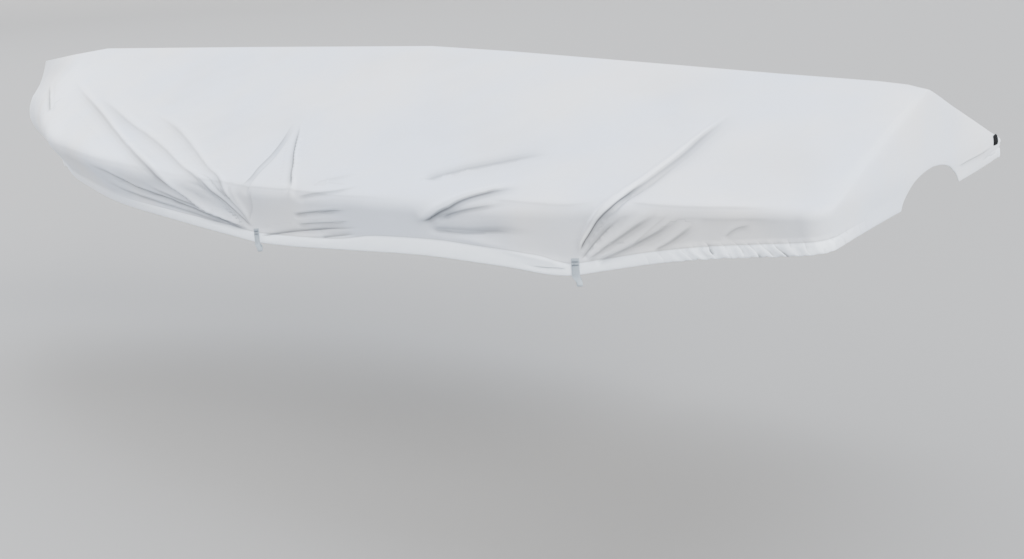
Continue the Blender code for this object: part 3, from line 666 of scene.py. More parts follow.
def beside_path(points, normals, path):
    """For each point: the share of the path's length at its nearest place, its distance, how far left."""
    starts, spans = path[:-1], np.diff(path, axis=0)
    reach = points[:, None, :] - starts
    share = np.clip(np.einsum("ijk,jk->ij", reach, spans) / (spans**2).sum(1), 0, 1)
    offsets = reach - share[:, :, None] * spans
    gaps = np.linalg.norm(offsets, axis=2)
    nearest = gaps.argmin(axis=1)
    row = np.arange(len(points))
    along = (nearest + share[row, nearest]) / len(spans)
    left = np.einsum("ij,ij->i", np.cross(normals, unit(spans)[nearest]), offsets[row, nearest])
    return along, gaps[row, nearest], left


def waviness(points, seed, length):
    """Smooth unevenness from -1 to 1 or so: a sum of sine waves in turned directions, each about length
    metres long."""
    chooser = np.random.default_rng(seed)
    total = np.zeros(points.shape[:-1])
    for _ in range(WAVES):
        direction = unit(chooser.normal(size=3))
        phase = chooser.uniform(0, 2 * math.pi)
        scale = length * chooser.uniform(0.7, 1.5)
        total += np.sin(points @ direction * 2 * math.pi / scale + phase)
    return total / math.sqrt(WAVES)


WAVES = 7


def clear_of_tabs(surface, up):
    """0 under each webbing tab, rising to 1 a few millimetres outside it: 1 - exp(-(a^4 + b^4)), where a and
    b are the distances along and up from the tab's middle, in half sizes."""
    clear = np.ones(up.shape)
    for _, tab_x in TABS:
        foot = place_on_side(np.array([tab_x]), np.array([0.0]))[0]
        leaned = foot[0] + CLEAR_LEAN * (up - CLEAR_LEAN_FROM_UP)
        sideways = (surface[:, :, 0] - leaned) / CLEAR_HALF_WIDTH
        upward = (up - CLEAR_MIDDLE_UP) / CLEAR_HALF_HEIGHT
        near = (np.abs(surface[:, :, 1] - foot[1]) < CLEAR_DEPTH).astype(float)
        clear *= 1 - near * np.exp(-(sideways**4 + upward**4))
    return clear


CLEAR_LEAN = 0.1
CLEAR_LEAN_FROM_UP = 0.022
CLEAR_HALF_WIDTH = 0.018
CLEAR_MIDDLE_UP = 0.020
CLEAR_HALF_HEIGHT = 0.034
CLEAR_DEPTH = 0.2


def seam_height(surface):
    """How far up the casing's seam runs at each column: high for a stretch before the aft tab, else low."""
    x = surface[0, :, 0]
    risen = smooth((x - SEAM_RISES_FROM_X) / SEAM_RISES_OVER)
    high = risen * smooth((SEAM_FALLS_TO_X - x) / SEAM_FALLS_OVER)
    return SEAM_UP_LOW + (SEAM_UP_HIGH - SEAM_UP_LOW) * high


def casing_share(surface):
    """1 where the hem has its wide casing, less at the bow, 0 across the transom, where it is turned up
    narrowly."""
    x = surface[0, :, 0]
    grown = CASING_AT_BOW + (1 - CASING_AT_BOW) * smooth((x - CASING_GROWS_FROM_X) / CASING_GROWS_OVER)
    return smooth((CASING_ENDS_X - x) / CASING_ENDS_OVER) * grown


def gather_phase(along, up, seed):
    """Phase in radians of the hem's slanted ruffles, with an uneven pitch and a changing curl."""
    chooser = np.random.default_rng(seed)
    places = np.linspace(0, HEM_REACH, WANDER_PLACES)
    wander = np.interp(along, places, chooser.normal(0, GATHER_WANDER, WANDER_PLACES).cumsum())
    curl = GATHER_CURL * np.sin(up * 2 * math.pi / CURL_LENGTH_UP + along * 2 * math.pi / CURL_LENGTH_ALONG)
    return (along + GATHER_SLANT * up) * 2 * math.pi / GATHER_PITCH + wander + curl


def gather_size(surface, along, up, seed):
    """How strong the ruffles are: uneven along the hem, only towards the stern, ending above the seam."""
    chooser = np.random.default_rng(seed)
    places = np.linspace(0, HEM_REACH, GATHER_PLACES)
    size = np.interp(along, places, chooser.uniform(GATHER_LEAST, 1.0, GATHER_PLACES))
    x = surface[0, :, 0]
    grown = smooth((x - GATHERS_FROM_X) / GATHERS_GROW_OVER)
    aft = grown * (1 - smooth((x - GATHERS_TO_X) / GATHERS_END_OVER))
    return size * aft * smooth((seam_height(surface) + GATHER_ABOVE_SEAM - up) / GATHER_TOP_FADE)


def ruffle(phase):
    """Ruffle profile from -1 to 1 or so: a leaning crest and the hollow beside it, over a slower wave, so
    that no two are quite alike."""
    return 0.7 * np.sin(phase + 0.6 * np.sin(phase)) + 0.3 * np.sin(phase * 0.43 + 0.6)


def hem_casing(up, seam_up, share):
    """The hem's casing: a little full between its edge and the groove that the seam pulls in above it."""
    full = CASING_FULLNESS * np.sin(np.clip(up / (seam_up - CASING_BELOW_SEAM), 0, 1) * math.pi)
    groove = -GROOVE_DEPTH * np.exp(-(((up - seam_up) / GROOVE_HALF_WIDTH) ** 2))
    return (full + groove) * share


SEAM_UP_LOW = 0.0315
SEAM_UP_HIGH = 0.0480
SEAM_RISES_FROM_X, SEAM_RISES_OVER = 0.25, 0.20
SEAM_FALLS_TO_X, SEAM_FALLS_OVER = 1.12, 0.12
CASING_AT_BOW = 0.20
CASING_GROWS_FROM_X, CASING_GROWS_OVER = -1.10, 0.60
CASING_ENDS_X, CASING_ENDS_OVER = 1.803, 0.012
CASING_FULLNESS = 0.0018
CASING_BELOW_SEAM = 0.002
GROOVE_DEPTH = 0.0024
GROOVE_HALF_WIDTH = 0.0035

HEM_REACH = 8.0  # longer than half the hem: the gathers' pitch and strength are drawn this far
WANDER_PLACES = 100
GATHER_PLACES = 180
GATHER_LEAST = 0.35
GATHER_WANDER = 2.2
GATHER_PITCH = 0.038
GATHER_SLANT = 0.95
GATHER_CURL = 0.8
CURL_LENGTH_UP = 0.050
CURL_LENGTH_ALONG = 0.23
GATHER_HEIGHT = 0.0036
GATHERS_FROM_X, GATHERS_GROW_OVER = 1.28, 0.22
GATHERS_TO_X, GATHERS_END_OVER = 1.795, 0.008
GATHER_ABOVE_SEAM = 0.012
GATHER_TOP_FADE = 0.016
SCALLOP = 0.0028
SCALLOP_LEAD = 0.8
SCALLOP_UP = 0.03

SEAM_REACH = 0.05
ALONG_RING = 6  # the ring whose length gives the distance along the hem
BAND_RING = 4  # a ring within the hem band
HEM_CLEARANCE = 0.012
RIDGE_CLEARANCE = 0.12
PEAK_CLEARANCE = 0.40
SHARED_COLUMNS = 6
UNEVENNESS = (
    # height  length  fades towards the hem over, and towards the ridge
    (0.0026, 0.50, 0.12, 0.10),
    (0.0010, 0.16, 0.06, 0.10),
)


def folded_half(surface, folds, creases, slack, seed):
    """One half with its folds, as named grids: the moved surface, the distances up from the hem and along
    it, the push itself, and the values that its material reads."""
    normals = grid_normals(surface)
    points = surface.reshape(-1, 3)
    flat_normals = normals.reshape(-1, 3)
    push = np.zeros(len(points))
    for number, fold in enumerate(folds):
        push += fold_push(points, flat_normals, fold) * slack(number)
    push = push.reshape(surface.shape[:2])
    up = climb(surface)
    along = np.tile(distances_along(surface[ALONG_RING]), (len(surface), 1))
    from_ridge = up[-1] - up
    push *= smooth(up / HEM_CLEARANCE) * smooth(from_ridge / RIDGE_CLEARANCE)
    for number, (height, length, above_hem, below_ridge) in enumerate(UNEVENNESS):
        waves = height * waviness(surface, seed + number, length)
        push += waves * smooth(up / above_hem) * smooth(from_ridge / below_ridge)
    phase = gather_phase(along, up, seed + 2)
    size = gather_size(surface, along, up, seed + 3)
    push += GATHER_HEIGHT * ruffle(phase) * size
    # the stem and the transom's middle are shared by both halves, so both leave them as they are; so do the
    # columns that crowd together at the stern peak
    count = np.arange(surface.shape[1])
    inside = smooth(np.minimum(count, count[::-1]) / SHARED_COLUMNS)
    from_peak = np.linalg.norm(surface - np.array(STERN_PEAK), axis=2)
    push *= inside * smooth(from_peak / PEAK_CLEARANCE)
    seam_up = seam_height(surface)
    casing = casing_share(surface)
    push += hem_casing(up, seam_up, casing)
    clear = clear_of_tabs(surface, up)
    push *= clear
    rise = unit(surface[BAND_RING] - surface[0])
    scallop = SCALLOP * ruffle(phase[0] + SCALLOP_LEAD) * size[0] * inside * clear[0]
    moved = surface + normals * push[:, :, None] + rise * (scallop * smooth(1 - up / SCALLOP_UP))[:, :, None]
    grids = {
        "surface": moved,
        "up": up,
        "along": along,
        "push": push,
        "hem": np.stack([
            np.clip(up - seam_up, -SEAM_REACH, SEAM_REACH), casing + 0 * up, size * inside * clear,
        ], axis=2),
        "gather": phase / (2 * math.pi),
    }
    # crease lines, which the material draws as painted shade and painted highlight
    for number, channel in enumerate(crease_channels(creases)):
        marks = painted_crease_lines(points, flat_normals, channel).reshape(surface.shape)
        marks[:, :, 1:] *= (clear * inside)[:, :, None]
        grids["crease_%d" % (number + 1)] = marks
    return grids


CREASE_CHANNELS = 4


def drawn_route(crease):
    """Forty places along a crease as it is drawn in its table."""
    places = np.array([place[:2] for place in crease[-1]])
    return interpolate(np.linspace(0, len(places) - 1, 40), np.arange(len(places)), places)


def crease_channels(creases):
    """The creases dealt out into lists, each to the list whose creases lie farthest from it."""
    channels = [[] for _ in range(CREASE_CHANNELS)]
    for crease in creases:
        route = drawn_route(crease)
        room = [
            min((np.linalg.norm(route[:, None] - drawn_route(other), axis=2).min() for other in channel),
                default=math.inf)
            for channel in channels
        ]
        channels[int(np.argmax(room))].append(crease)
    return channels


# ---------------------------------------------------------------------------------------------------------
# The cover piece
# ---------------------------------------------------------------------------------------------------------
SIDE_STEPS = 560  # on the port side; starboard has half as many, so that both meet at the ridge
PORT_STERN = (20, 56)
STARBOARD_STERN = (16, 48)
CLOTH = 0.0012
CASING = 0.0014
EDGE_IN, EDGE_DOWN = 0.5, 0.4  # of the cloth's thickness, from the outer face's lowest points
CASING_EDGE = (0.001, 0.004)  # above the seam, and over what height the casing's second ply ends
HOLLOW_DEPTH = 0.008
HOLLOWS_FROM_UP, HOLLOWS_OVER = 0.02, 0.03
PORT_SEED = 11
STARBOARD_SEED = 37
FAR_FOLDS = 0.8
FAR_CREASES = 0.7
FAR_SHIFT = 0.025
FAR_SHIFT_TURN = 1.7  # radians from one line to the next, so that their shifts differ
FAR_SHIFT_REACH = 0.2


def far_side(rows, share):
    """The same tension lines on the far side, weaker, each shifted a little along the boat."""
    shifted = []
    for number, row in enumerate(rows):
        shift = FAR_SHIFT * math.sin(FAR_SHIFT_TURN * number)
        route = row[-1]
        first_x = route[0][0]
        moved = tuple((x + shift * min(abs(x - first_x) / FAR_SHIFT_REACH, 1), up) for x, up in route)
        strength = (row[1], row[2] * share) if isinstance(row[1], str) else (row[1] * share, row[2] * share)
        shifted.append((row[0],) + strength + tuple(row[3:-1]) + (moved,))
    return tuple(shifted)


def far_slack(number):
    """A further share of each fold's height on the far side, uneven from fold to fold."""
    return 0.6 + 0.3 * math.cos(2.4 * number)


# On the starboard half of the transom, drawn as the port half: (x, across, up) in space
FAR_TRANSOM_CREASES = (
    ("above far hem", 0.4, 0.4, 0.006, 0.008, 1,
     ((1.812, -0.205, -0.372), (1.81, -0.3, -0.368), (1.807, -0.4, -0.366), (1.802, -0.52, -0.362))),
    ("far corner pucker", 0.3, 0.3, 0.006, 0.008, -1,
     ((1.806, -0.42, -0.392), (1.805, -0.47, -0.385), (1.803, -0.52, -0.388), (1.8, -0.57, -0.38))),
)


def cover_grid():
    """The whole outer face as named grids of rings x columns, round the boat from the stem along port."""
    stations = crowded_stations(SIDE_STEPS + 1)
    port = half_surface(STERN_CORNERS["port"], stations, *PORT_STERN)
    starboard = half_surface(STERN_CORNERS["starboard"], stations[::2], *STARBOARD_STERN)
    port = folded_half(port, FOLDS, CREASES, lambda number: 1.0, PORT_SEED)
    creases = far_side(CREASES, FAR_CREASES) + FAR_TRANSOM_CREASES
    starboard = folded_half(starboard, far_side(FOLDS, FAR_FOLDS), creases, far_slack, STARBOARD_SEED)
    starboard["surface"] = starboard["surface"] * np.array([1, -1, 1])
    starboard["along"] = port["along"][0, -1] + starboard["along"][0, -1] - starboard["along"]
    return {
        label: np.concatenate([grid, starboard[label][:, -2:0:-1]], axis=1) for label, grid in port.items()
    }


def closed_normals(surface):
    """Outward normals of the grid that closes on itself round the boat."""
    wrapped = np.concatenate([surface[:, -1:], surface, surface[:, :1]], axis=1)
    along = (wrapped[:, 2:] - wrapped[:, :-2]) / 2
    up = np.gradient(surface, axis=0)
    normals = unit(np.cross(along, up))
    at_peak = surface[-1, :, :1] > STERN_PEAK[0] - AT_PEAK
    normals[-1] = np.where(at_peak, PEAK_FACING, [0, 0, 1])
    return normals


AT_PEAK = 0.001
PEAK_FACING = (0.30, 0.0, 0.954)


def ridge_places(columns):
    """For every column, which point of the port ridge it ends at; the last is the stern peak."""
    port_columns = SIDE_STEPS + sum(PORT_STERN)
    column = np.arange(columns)
    starboard = columns - column
    return np.where(
        column <= port_columns,
        np.minimum(column, SIDE_STEPS + 1),
        np.minimum(2 * starboard, SIDE_STEPS + 1),
    )


def cap_faces(low, ridge_points, places, stride):
    """Faces between the ring below the ridge and the ridge: quads to port, triangles at the peak, pentagons
    to starboard, whose columns are twice as wide."""
    places = np.where(places > SIDE_STEPS, SIDE_STEPS // stride + 1, places // stride)
    after = np.roll(places, -1)
    low_after = np.roll(low, -1)
    step = np.abs(after - places)
    gap = np.where(np.maximum(places, after) > SIDE_STEPS // stride, np.sign(step), step)
    here, there = ridge_points[places], ridge_points[after]
    between = ridge_points[(places + after) // 2]
    tri = np.stack([low, low_after, here], axis=1)[gap == 0]
    quad = np.stack([low, low_after, there, here], axis=1)[gap == 1]
    five = np.stack([low, low_after, there, between, here], axis=1)[gap == 2]
    return [tri, quad, five]


def make_cover(material):
    """The cloth: a fine outer face, an inner face on every second ring and column, and a rounded edge
    between them."""
    fields = cover_grid()
    surface, up, along, push = [fields.pop(label) for label in ("surface", "up", "along", "push")]
    rings, columns, _ = surface.shape
    normals = closed_normals(surface)
    rise = unit(surface[1] - surface[0])
    above_seam, over = CASING_EDGE
    thick = CLOTH + CASING * smooth((seam_height(surface) + above_seam - up) / over)
    edge_thick = thick[0][:, None]
    rounded = surface[0] - normals[0] * edge_thick * EDGE_IN - rise * edge_thick * EDGE_DOWN
    inner_face = surface - normals * thick[:, :, None]
    peak = SIDE_STEPS + sum(PORT_STERN)
    ridge_columns = np.append(np.arange(SIDE_STEPS + 1), peak)
    inner_columns = np.append(np.arange(0, SIDE_STEPS + 1, 2), peak)

    def as_list(outer, edge, inner):
        """Values over the grid as one list: the outer face and its ridge, the edge, the inner face and its
        ridge."""
        shape = (-1,) + outer.shape[2:]
        return np.concatenate([
            outer[:-1].reshape(shape), outer[-1, ridge_columns], edge,
            inner[:-1:2, ::2].reshape(shape), inner[-1, inner_columns],
        ])

    points = as_list(surface, rounded, inner_face)
    outer_index = np.arange((rings - 1) * columns).reshape(rings - 1, columns)
    ridge_index = outer_index.size + np.arange(len(ridge_columns))
    edge_index = ridge_index[-1] + 1 + np.arange(columns)
    inner_rings = (rings - 1) // 2
    inner_index = np.arange(inner_rings * columns // 2).reshape(inner_rings, columns // 2)
    inner_index = edge_index[-1] + 1 + inner_index
    inner_ridge = inner_index[-1, -1] + 1 + np.arange(len(inner_columns))
    around = np.roll(outer_index, -1, axis=1)
    inner_around = np.roll(inner_index, -1, axis=1)
    places = ridge_places(columns)
    faces = [
        grid_quads(outer_index, around),
        grid_quads(inner_index, inner_around)[:, ::-1],
        np.stack([edge_index, np.roll(edge_index, -1), around[0], outer_index[0]], axis=1),
        np.stack([
            inner_index[0], inner_around[0], np.roll(edge_index[::2], -1), edge_index[1::2], edge_index[::2],
        ], axis=1),
    ]
    faces += cap_faces(outer_index[-1], ridge_index, places, 1)
    faces += [block[:, ::-1] for block in cap_faces(inner_index[-1], inner_ridge, places[::2], 2)]
    # how deep in a hollow each point lies; the material paints shade there from it
    fields["hollow"] = np.clip(-push / HOLLOW_DEPTH, 0, 1) * smooth((up - HOLLOWS_FROM_UP) / HOLLOWS_OVER)
    lists = {label: as_list(values, values[0], values) for label, values in fields.items()}
    uv = np.stack([along, up], axis=2)
    cover = new_mesh_object("cover_cloth", points, faces, material, as_list(uv, uv[0], uv), lists)
    return cover, surface, normals, up


# ---------------------------------------------------------------------------------------------------------
# Materials
# ---------------------------------------------------------------------------------------------------------
def add_node(tree, kind, *values, out=0, **named):
    """Add a node and give its output out, or all its outputs if that is None. The values fill its sockets in
    order; a name with a capital is a socket too, any other is a setting. A value is a number, a colour or
    another node's output."""
    node = tree.nodes.new("ShaderNode" + kind)
    for name, value in named.items():
        if name[0].islower():
            setattr(node, name, value)
    sockets = dict(zip([socket for socket in node.inputs if socket.enabled], values))
    sockets.update({node.inputs[name]: value for name, value in named.items() if name[0].isupper()})
    for socket, value in sockets.items():
        if isinstance(value, bpy.types.NodeSocket):
            tree.links.new(value, socket)
        else:
            socket.default_value = value
    outputs = [socket for socket in node.outputs if socket.enabled]
    if out is None:
        return outputs
    return outputs[out] if isinstance(out, int) else node.outputs[out]


def new_material(name):
    """A new material with its node tree and its shader."""
    material = bpy.data.materials.new(name)
    material.use_nodes = True
    return material, material.node_tree, material.node_tree.nodes["Principled BSDF"]


def uv_parts(tree):
    """The two numbers of the UV map, in metres."""
    return add_node(tree, "SeparateXYZ", add_node(tree, "UVMap", uv_map="metres"), out=None)[:2]


def waves_along(tree, place, pitch):
    """Sine of a place in metres, with one whole wave over each pitch."""
    turned = add_node(tree, "Math", place, 2 * math.pi / pitch, operation="MULTIPLY")
    return add_node(tree, "Math", turned, operation="SINE")


def weave_height(tree, pitch):
    """Height of a plain weave: the product of two sine waves, one per thread direction, each of which turns
    from a thread to the next over one pitch."""
    warp, weft = [waves_along(tree, part, 2 * pitch) for part in uv_parts(tree)]
    return add_node(tree, "Math", warp, weft, operation="MULTIPLY")


def parts_of(tree, label):
    """The three numbers of a vector attribute."""
    vector = add_node(tree, "Attribute", attribute_name=label, out="Vector")
    return add_node(tree, "SeparateXYZ", vector, out=None)


def profile_ramp(tree, value, profile, first, last):
    """Two profiles over a value from first to last, as the red and green of one colour ramp."""
    colour = add_node(tree, "ValToRGB", add_node(tree, "MapRange", value, first, last, 0.0, 1.0))
    ramp = colour.node.color_ramp
    ramp.interpolation = "EASE"
    for number, (place, dark_share, light_share) in enumerate(profile):
        point = ramp.elements[number] if number < 2 else ramp.elements.new(1.0)
        point.position = (place - first) / (last - first)
        point.color = (dark_share, light_share, 0.0, 1.0)
    return add_node(tree, "SeparateColor", colour, out=None)


def ruffle_shading(tree, gathered):
    """Painted shade and painted highlight of the gathered hem's ruffles, as a factor on the cloth's colour,
    and their height. The attribute counts them; each whole number is one ruffle, with a strength of its own,
    and they come in patches."""
    count = add_node(tree, "Attribute", attribute_name="gather", out="Fac")
    number = add_node(tree, "Math", count, operation="FLOOR")
    chance = add_node(tree, "TexWhiteNoise", number, noise_dimensions="1D")
    place = add_node(tree, "TexCoord", out="Object")
    patches = add_node(tree, "TexNoise", place, Scale=RUFFLE_PATCHES, Detail=1.0, Roughness=0.5)
    broken = add_node(tree, "MapRange", patches, 0.40, 0.56, 0.15, 1.0)
    broken = add_node(tree, "Math", broken, gathered, operation="MULTIPLY")
    uneven = add_node(tree, "Math", chance, 1.2, 0.30, operation="MULTIPLY_ADD")
    strength = add_node(tree, "Math", uneven, broken, operation="MULTIPLY")
    share = add_node(tree, "Math", count, operation="FRACT")
    profile = profile_ramp(tree, share, RUFFLE_PROFILE, 0.0, 1.0)
    shade, shine = [add_node(tree, "Math", half, strength, operation="MULTIPLY") for half in profile[:2]]
    # painted highlight on each ruffle's crest and painted shade in its hollow, as a factor on the cloth's
    # colour
    bright = add_node(tree, "Math", shine, RUFFLE_PAINTED_HIGHLIGHT, 1.0, operation="MULTIPLY_ADD")
    factor = add_node(tree, "Math", shade, -RUFFLE_PAINTED_SHADE, bright, operation="MULTIPLY_ADD")
    sunk = add_node(tree, "Math", shade, -0.8, operation="MULTIPLY")
    return factor, add_node(tree, "Math", shine, 0.5, sunk, operation="MULTIPLY_ADD")


RUFFLE_PATCHES = 38.0  # to the metre: each about 26 mm
# how far the ruffles' painted shade darkens the cloth's colour, and how far their painted highlight lightens
# it
RUFFLE_PAINTED_SHADE = 0.85
RUFFLE_PAINTED_HIGHLIGHT = 0.06
RUFFLE_PROFILE = (
    # share of a ruffle, dark share, light share
    (0.00, 0.00, 0.10),
    (0.22, 0.00, 0.60),
    (0.40, 0.00, 1.00),
    (0.47, 0.35, 0.40),
    (0.51, 1.00, 0.00),
    (0.59, 0.60, 0.00),
    (0.74, 0.22, 0.00),
    (0.88, 0.05, 0.00),
    (1.00, 0.00, 0.10),
)


def crease_shading(tree, label):
    """Painted shade and painted highlight, as a factor on the cloth's colour, and height beside one channel of
    crease lines, both from the signed distance to the line: red is the dark side's profile, green the light
    side's."""
    distance, dark, light = parts_of(tree, label)
    profile = profile_ramp(tree, distance, CREASE_PROFILE, -MARK_LIMIT, MARK_LIMIT)
    shade = add_node(tree, "Math", profile[0], dark, operation="MULTIPLY")
    shine = add_node(tree, "Math", profile[1], light, operation="MULTIPLY")
    bright = add_node(tree, "Math", shine, CREASE_PAINTED_HIGHLIGHT, 1.0, operation="MULTIPLY_ADD")
    dimmed = add_node(tree, "Math", shade, bright, operation="MULTIPLY")
    factor = add_node(tree, "Math", dimmed, -CREASE_PAINTED_SHADE, bright, operation="MULTIPLY_ADD")
    sunk = add_node(tree, "Math", shade, -1.0, operation="MULTIPLY")
    return factor, add_node(tree, "Math", shine, 0.4, sunk, operation="MULTIPLY_ADD")


# how far the crease lines' painted shade darkens the cloth's colour, and how far their painted highlight
# lightens it
CREASE_PAINTED_SHADE = 0.88
CREASE_PAINTED_HIGHLIGHT = 0.10
CREASE_PROFILE = (
    # line widths to the dark side, dark share, light share
    (-3.00, 0.00, 0.00),
    (-2.00, 0.00, 0.15),
    (-0.90, 0.00, 1.00),
    (-0.35, 0.06, 0.60),
    (-0.10, 0.60, 0.10),
    (0.08, 1.00, 0.00),
    (0.60, 0.55, 0.00),
    (1.30, 0.22, 0.00),
    (2.30, 0.04, 0.00),
    (3.00, 0.00, 0.00),
)


def cloth_material():
    """Polyester cover cloth, woven and coated, light grey: dull, with a fine plain weave, soft tone changes,
    and painted shade and painted highlight in its colour: shade in its hollows and in the hem's seam groove,
    shade and highlight beside its creases and its ruffles. The hem's casing is two plies, so it lets less
    through and looks paler."""
    material, tree, shader = new_material("coated_polyester")
    place = add_node(tree, "TexCoord", out="Object")
    broad = add_node(tree, "TexNoise", place, Scale=TONE_PATCHES, Detail=3.0, Roughness=0.55)
    mottled = add_node(tree, "MapRange", broad, 0.38, 0.62, 0.0, 1.0)
    tone = add_node(tree, "Mix", mottled, linear(CLOTH_COOL), linear(CLOTH_WARM), data_type="RGBA")
    above_seam, casing, gathered = parts_of(tree, "hem")
    below = add_node(tree, "MapRange", above_seam, *PALER_BELOW, 1.0, 0.0)
    below = add_node(tree, "Math", below, casing, operation="MULTIPLY")
    cased = add_node(tree, "Mix", below, tone, linear(CASED), data_type="RGBA")
    specks = add_node(tree, "TexNoise", place, Scale=SPECKS, Detail=4.0, Roughness=0.6)
    specks = add_node(tree, "MapRange", specks, 0.3, 0.7, 0.975, 1.0)
    # painted shade in the hollows that the folds push in, darkening the cloth's colour
    hollow = add_node(tree, "Attribute", attribute_name="hollow", out="Fac")
    painted_hollow_shade = add_node(tree, "MapRange", hollow, 0.0, 1.0, 1.0, HOLLOW_PAINTED_SHADE)
    # painted shade along the groove that the casing's seam pulls in
    from_groove = add_node(tree, "Math", above_seam, GROOVE_UP, operation="SUBTRACT")
    from_groove = add_node(tree, "Math", from_groove, operation="ABSOLUTE")
    groove = add_node(tree, "MapRange", from_groove, 0.0, GROOVE_SHADE_REACH, 1.0, 0.0)
    groove = add_node(tree, "Math", groove, casing, operation="MULTIPLY")
    groove_shade = add_node(tree, "MapRange", groove, 0.0, 1.0, 1.0, GROOVE_PAINTED_SHADE)
    ruffle_shade, height = ruffle_shading(tree, gathered)
    # the factor on the cloth's colour: painted shade in the hollows, random specks, painted shade in the seam
    # groove and on the ruffles
    factor = painted_hollow_shade
    for shade in (specks, groove_shade, ruffle_shade):
        factor = add_node(tree, "Math", factor, shade, operation="MULTIPLY")
    # painted shade and painted highlight beside the crease lines
    for number in range(1, CREASE_CHANNELS + 1):
        crease_factor, crease_height = crease_shading(tree, "crease_%d" % number)
        factor = add_node(tree, "Math", factor, crease_factor, operation="MULTIPLY")
        height = add_node(tree, "Math", height, crease_height, operation="ADD")
    colour = add_node(tree, "VectorMath", cased, factor, operation="SCALE")
    tree.links.new(colour, shader.inputs["Base Color"])
    roughness = add_node(tree, "MapRange", broad, 0.3, 0.7, 0.56, 0.66)
    tree.links.new(roughness, shader.inputs["Roughness"])
    weave = weave_height(tree, CLOTH_PITCH)
    woven = add_node(tree, "Bump", Height=weave, Strength=0.12, Distance=0.0003)
    puckers = add_node(tree, "TexNoise", place, Scale=PUCKERS, Detail=3.0, Roughness=0.5)
    puckered = add_node(tree, "Bump", Height=puckers, Normal=woven, Strength=0.25, Distance=0.004)
    creased = add_node(tree, "Bump", Height=height, Normal=puckered, Strength=0.9, Distance=0.004)
    tree.links.new(creased, shader.inputs["Normal"])
    shader.inputs["Sheen Weight"].default_value = 0.08
    shader.inputs["Sheen Roughness"].default_value = 0.5
    return material


CLOTH_COOL = "CDD7E7"
CLOTH_WARM = "D9DCE1"
CASED = "E9F3FF"
TONE_PATCHES = 1.6  # to the metre: each about 600 mm
SPECKS = 60.0  # each about 17 mm
PUCKERS = 22.0  # each about 45 mm
CLOTH_PITCH = 0.0009  # the real threads lie about 0.5 mm apart, too fine to show, so these are coarser
# share of the colour left by the painted shade in the deepest hollows
HOLLOW_PAINTED_SHADE = 0.88
# share of the colour left by the painted shade in the seam's groove, and how far up and down that shade
# reaches
GROOVE_PAINTED_SHADE = 0.72
GROOVE_SHADE_REACH = 0.0030
GROOVE_UP = 0.0006  # above the casing's seam
PALER_BELOW = (-0.0016, 0.0004)  # above the seam, where the paler casing begins to end and has ended


def webbing_material():
    """Polyester webbing, woven, pale blue-grey: ribs across its width, darker between them, and the threads
    that run along it."""
    material, tree, shader = new_material("polyester_webbing")
    across, along = uv_parts(tree)
    ribs = waves_along(tree, along, RIB_PITCH)
    threads = waves_along(tree, across, RIB_THREAD_PITCH)
    height = add_node(tree, "Math", threads, 0.4, ribs, operation="MULTIPLY_ADD")
    raised = add_node(tree, "MapRange", height, -1.3, 1.3, 0.0, 1.0)
    colour = add_node(tree, "Mix", raised, linear(WEBBING_LOW), linear(WEBBING_HIGH), data_type="RGBA")
    tree.links.new(colour, shader.inputs["Base Color"])
    ribbed = add_node(tree, "Bump", Height=height, Strength=0.5, Distance=0.0003)
    tree.links.new(ribbed, shader.inputs["Normal"])
    shader.inputs["Roughness"].default_value = 0.62
    return material


WEBBING_LOW = "7F8C98"
WEBBING_HIGH = "A5B1BC"
RIB_PITCH = 0.0016
RIB_THREAD_PITCH = 0.0030


def thread_material(name, light_end, dark_end):
    """Polyester sewing thread, twisted and bonded: its two tones mottled finely."""
    material, tree, shader = new_material(name)
    place = add_node(tree, "TexCoord", out="Object")
    mottled = add_node(tree, "TexNoise", place, Scale=THREAD_MOTTLES, Detail=2.0)
    colour = add_node(tree, "Mix", mottled, linear(light_end), linear(dark_end), data_type="RGBA")
    tree.links.new(colour, shader.inputs["Base Color"])
    shader.inputs["Roughness"].default_value = 0.55
    return material


THREAD_MOTTLES = 900.0  # to the metre: each about 1.1 mm, the length of the thread's twist


def patch_material():
    """Black polyester patch, woven: dull, with the weave just showing."""
    material, tree, shader = new_material("black_polyester")
    weave = weave_height(tree, PATCH_PITCH)
    raised = add_node(tree, "MapRange", weave, -1.0, 1.0, 0.0, 1.0)
    colour = add_node(tree, "Mix", raised, linear(PATCH_LOW), linear(PATCH_HIGH), data_type="RGBA")
    tree.links.new(colour, shader.inputs["Base Color"])
    woven = add_node(tree, "Bump", Height=weave, Strength=0.4, Distance=0.0003)
    tree.links.new(woven, shader.inputs["Normal"])
    shader.inputs["Roughness"].default_value = 0.9
    shader.inputs["Specular IOR Level"].default_value = 0.15
    return material


PATCH_LOW = "060607"
PATCH_HIGH = "0F1012"
PATCH_PITCH = 0.0008
FLOOR_COLOUR = "8F8E8C"


def floor_material():
    """Plain mid grey studio floor."""
    material, _, shader = new_material("studio_floor")
    shader.inputs["Base Color"].default_value = linear(FLOOR_COLOUR)
    shader.inputs["Roughness"].default_value = 0.9
    return material


# ---------------------------------------------------------------------------------------------------------
# Webbing loop tabs
# ---------------------------------------------------------------------------------------------------------
def tab_frame(tab_x):
    """Foot of a port tab on the hem edge, with its out, up and along directions, leaned a little aft at the
    foot."""
    x = np.array([tab_x - WEBBING_WIDTH / 2, tab_x, tab_x + WEBBING_WIDTH / 2])
    gunwale, hem, ridge = side_lines(x, STERN_CORNERS["port"])
    down = unit(hem - gunwale)
    outward = unit((gunwale - ridge) * np.array([1, 1, 0]))
    up = unit((hem - down * HEM_BAND - outward * HEM_FLARE)[1] - hem[1])
    along = unit(hem[2] - hem[0])
    out = unit(np.cross(along, up))
    along = np.cross(up, out)
    up = up * math.cos(TAB_LEAN) - along * math.sin(TAB_LEAN)
    return hem[1] + out * TAB_GAP, out, up, np.cross(up, out)


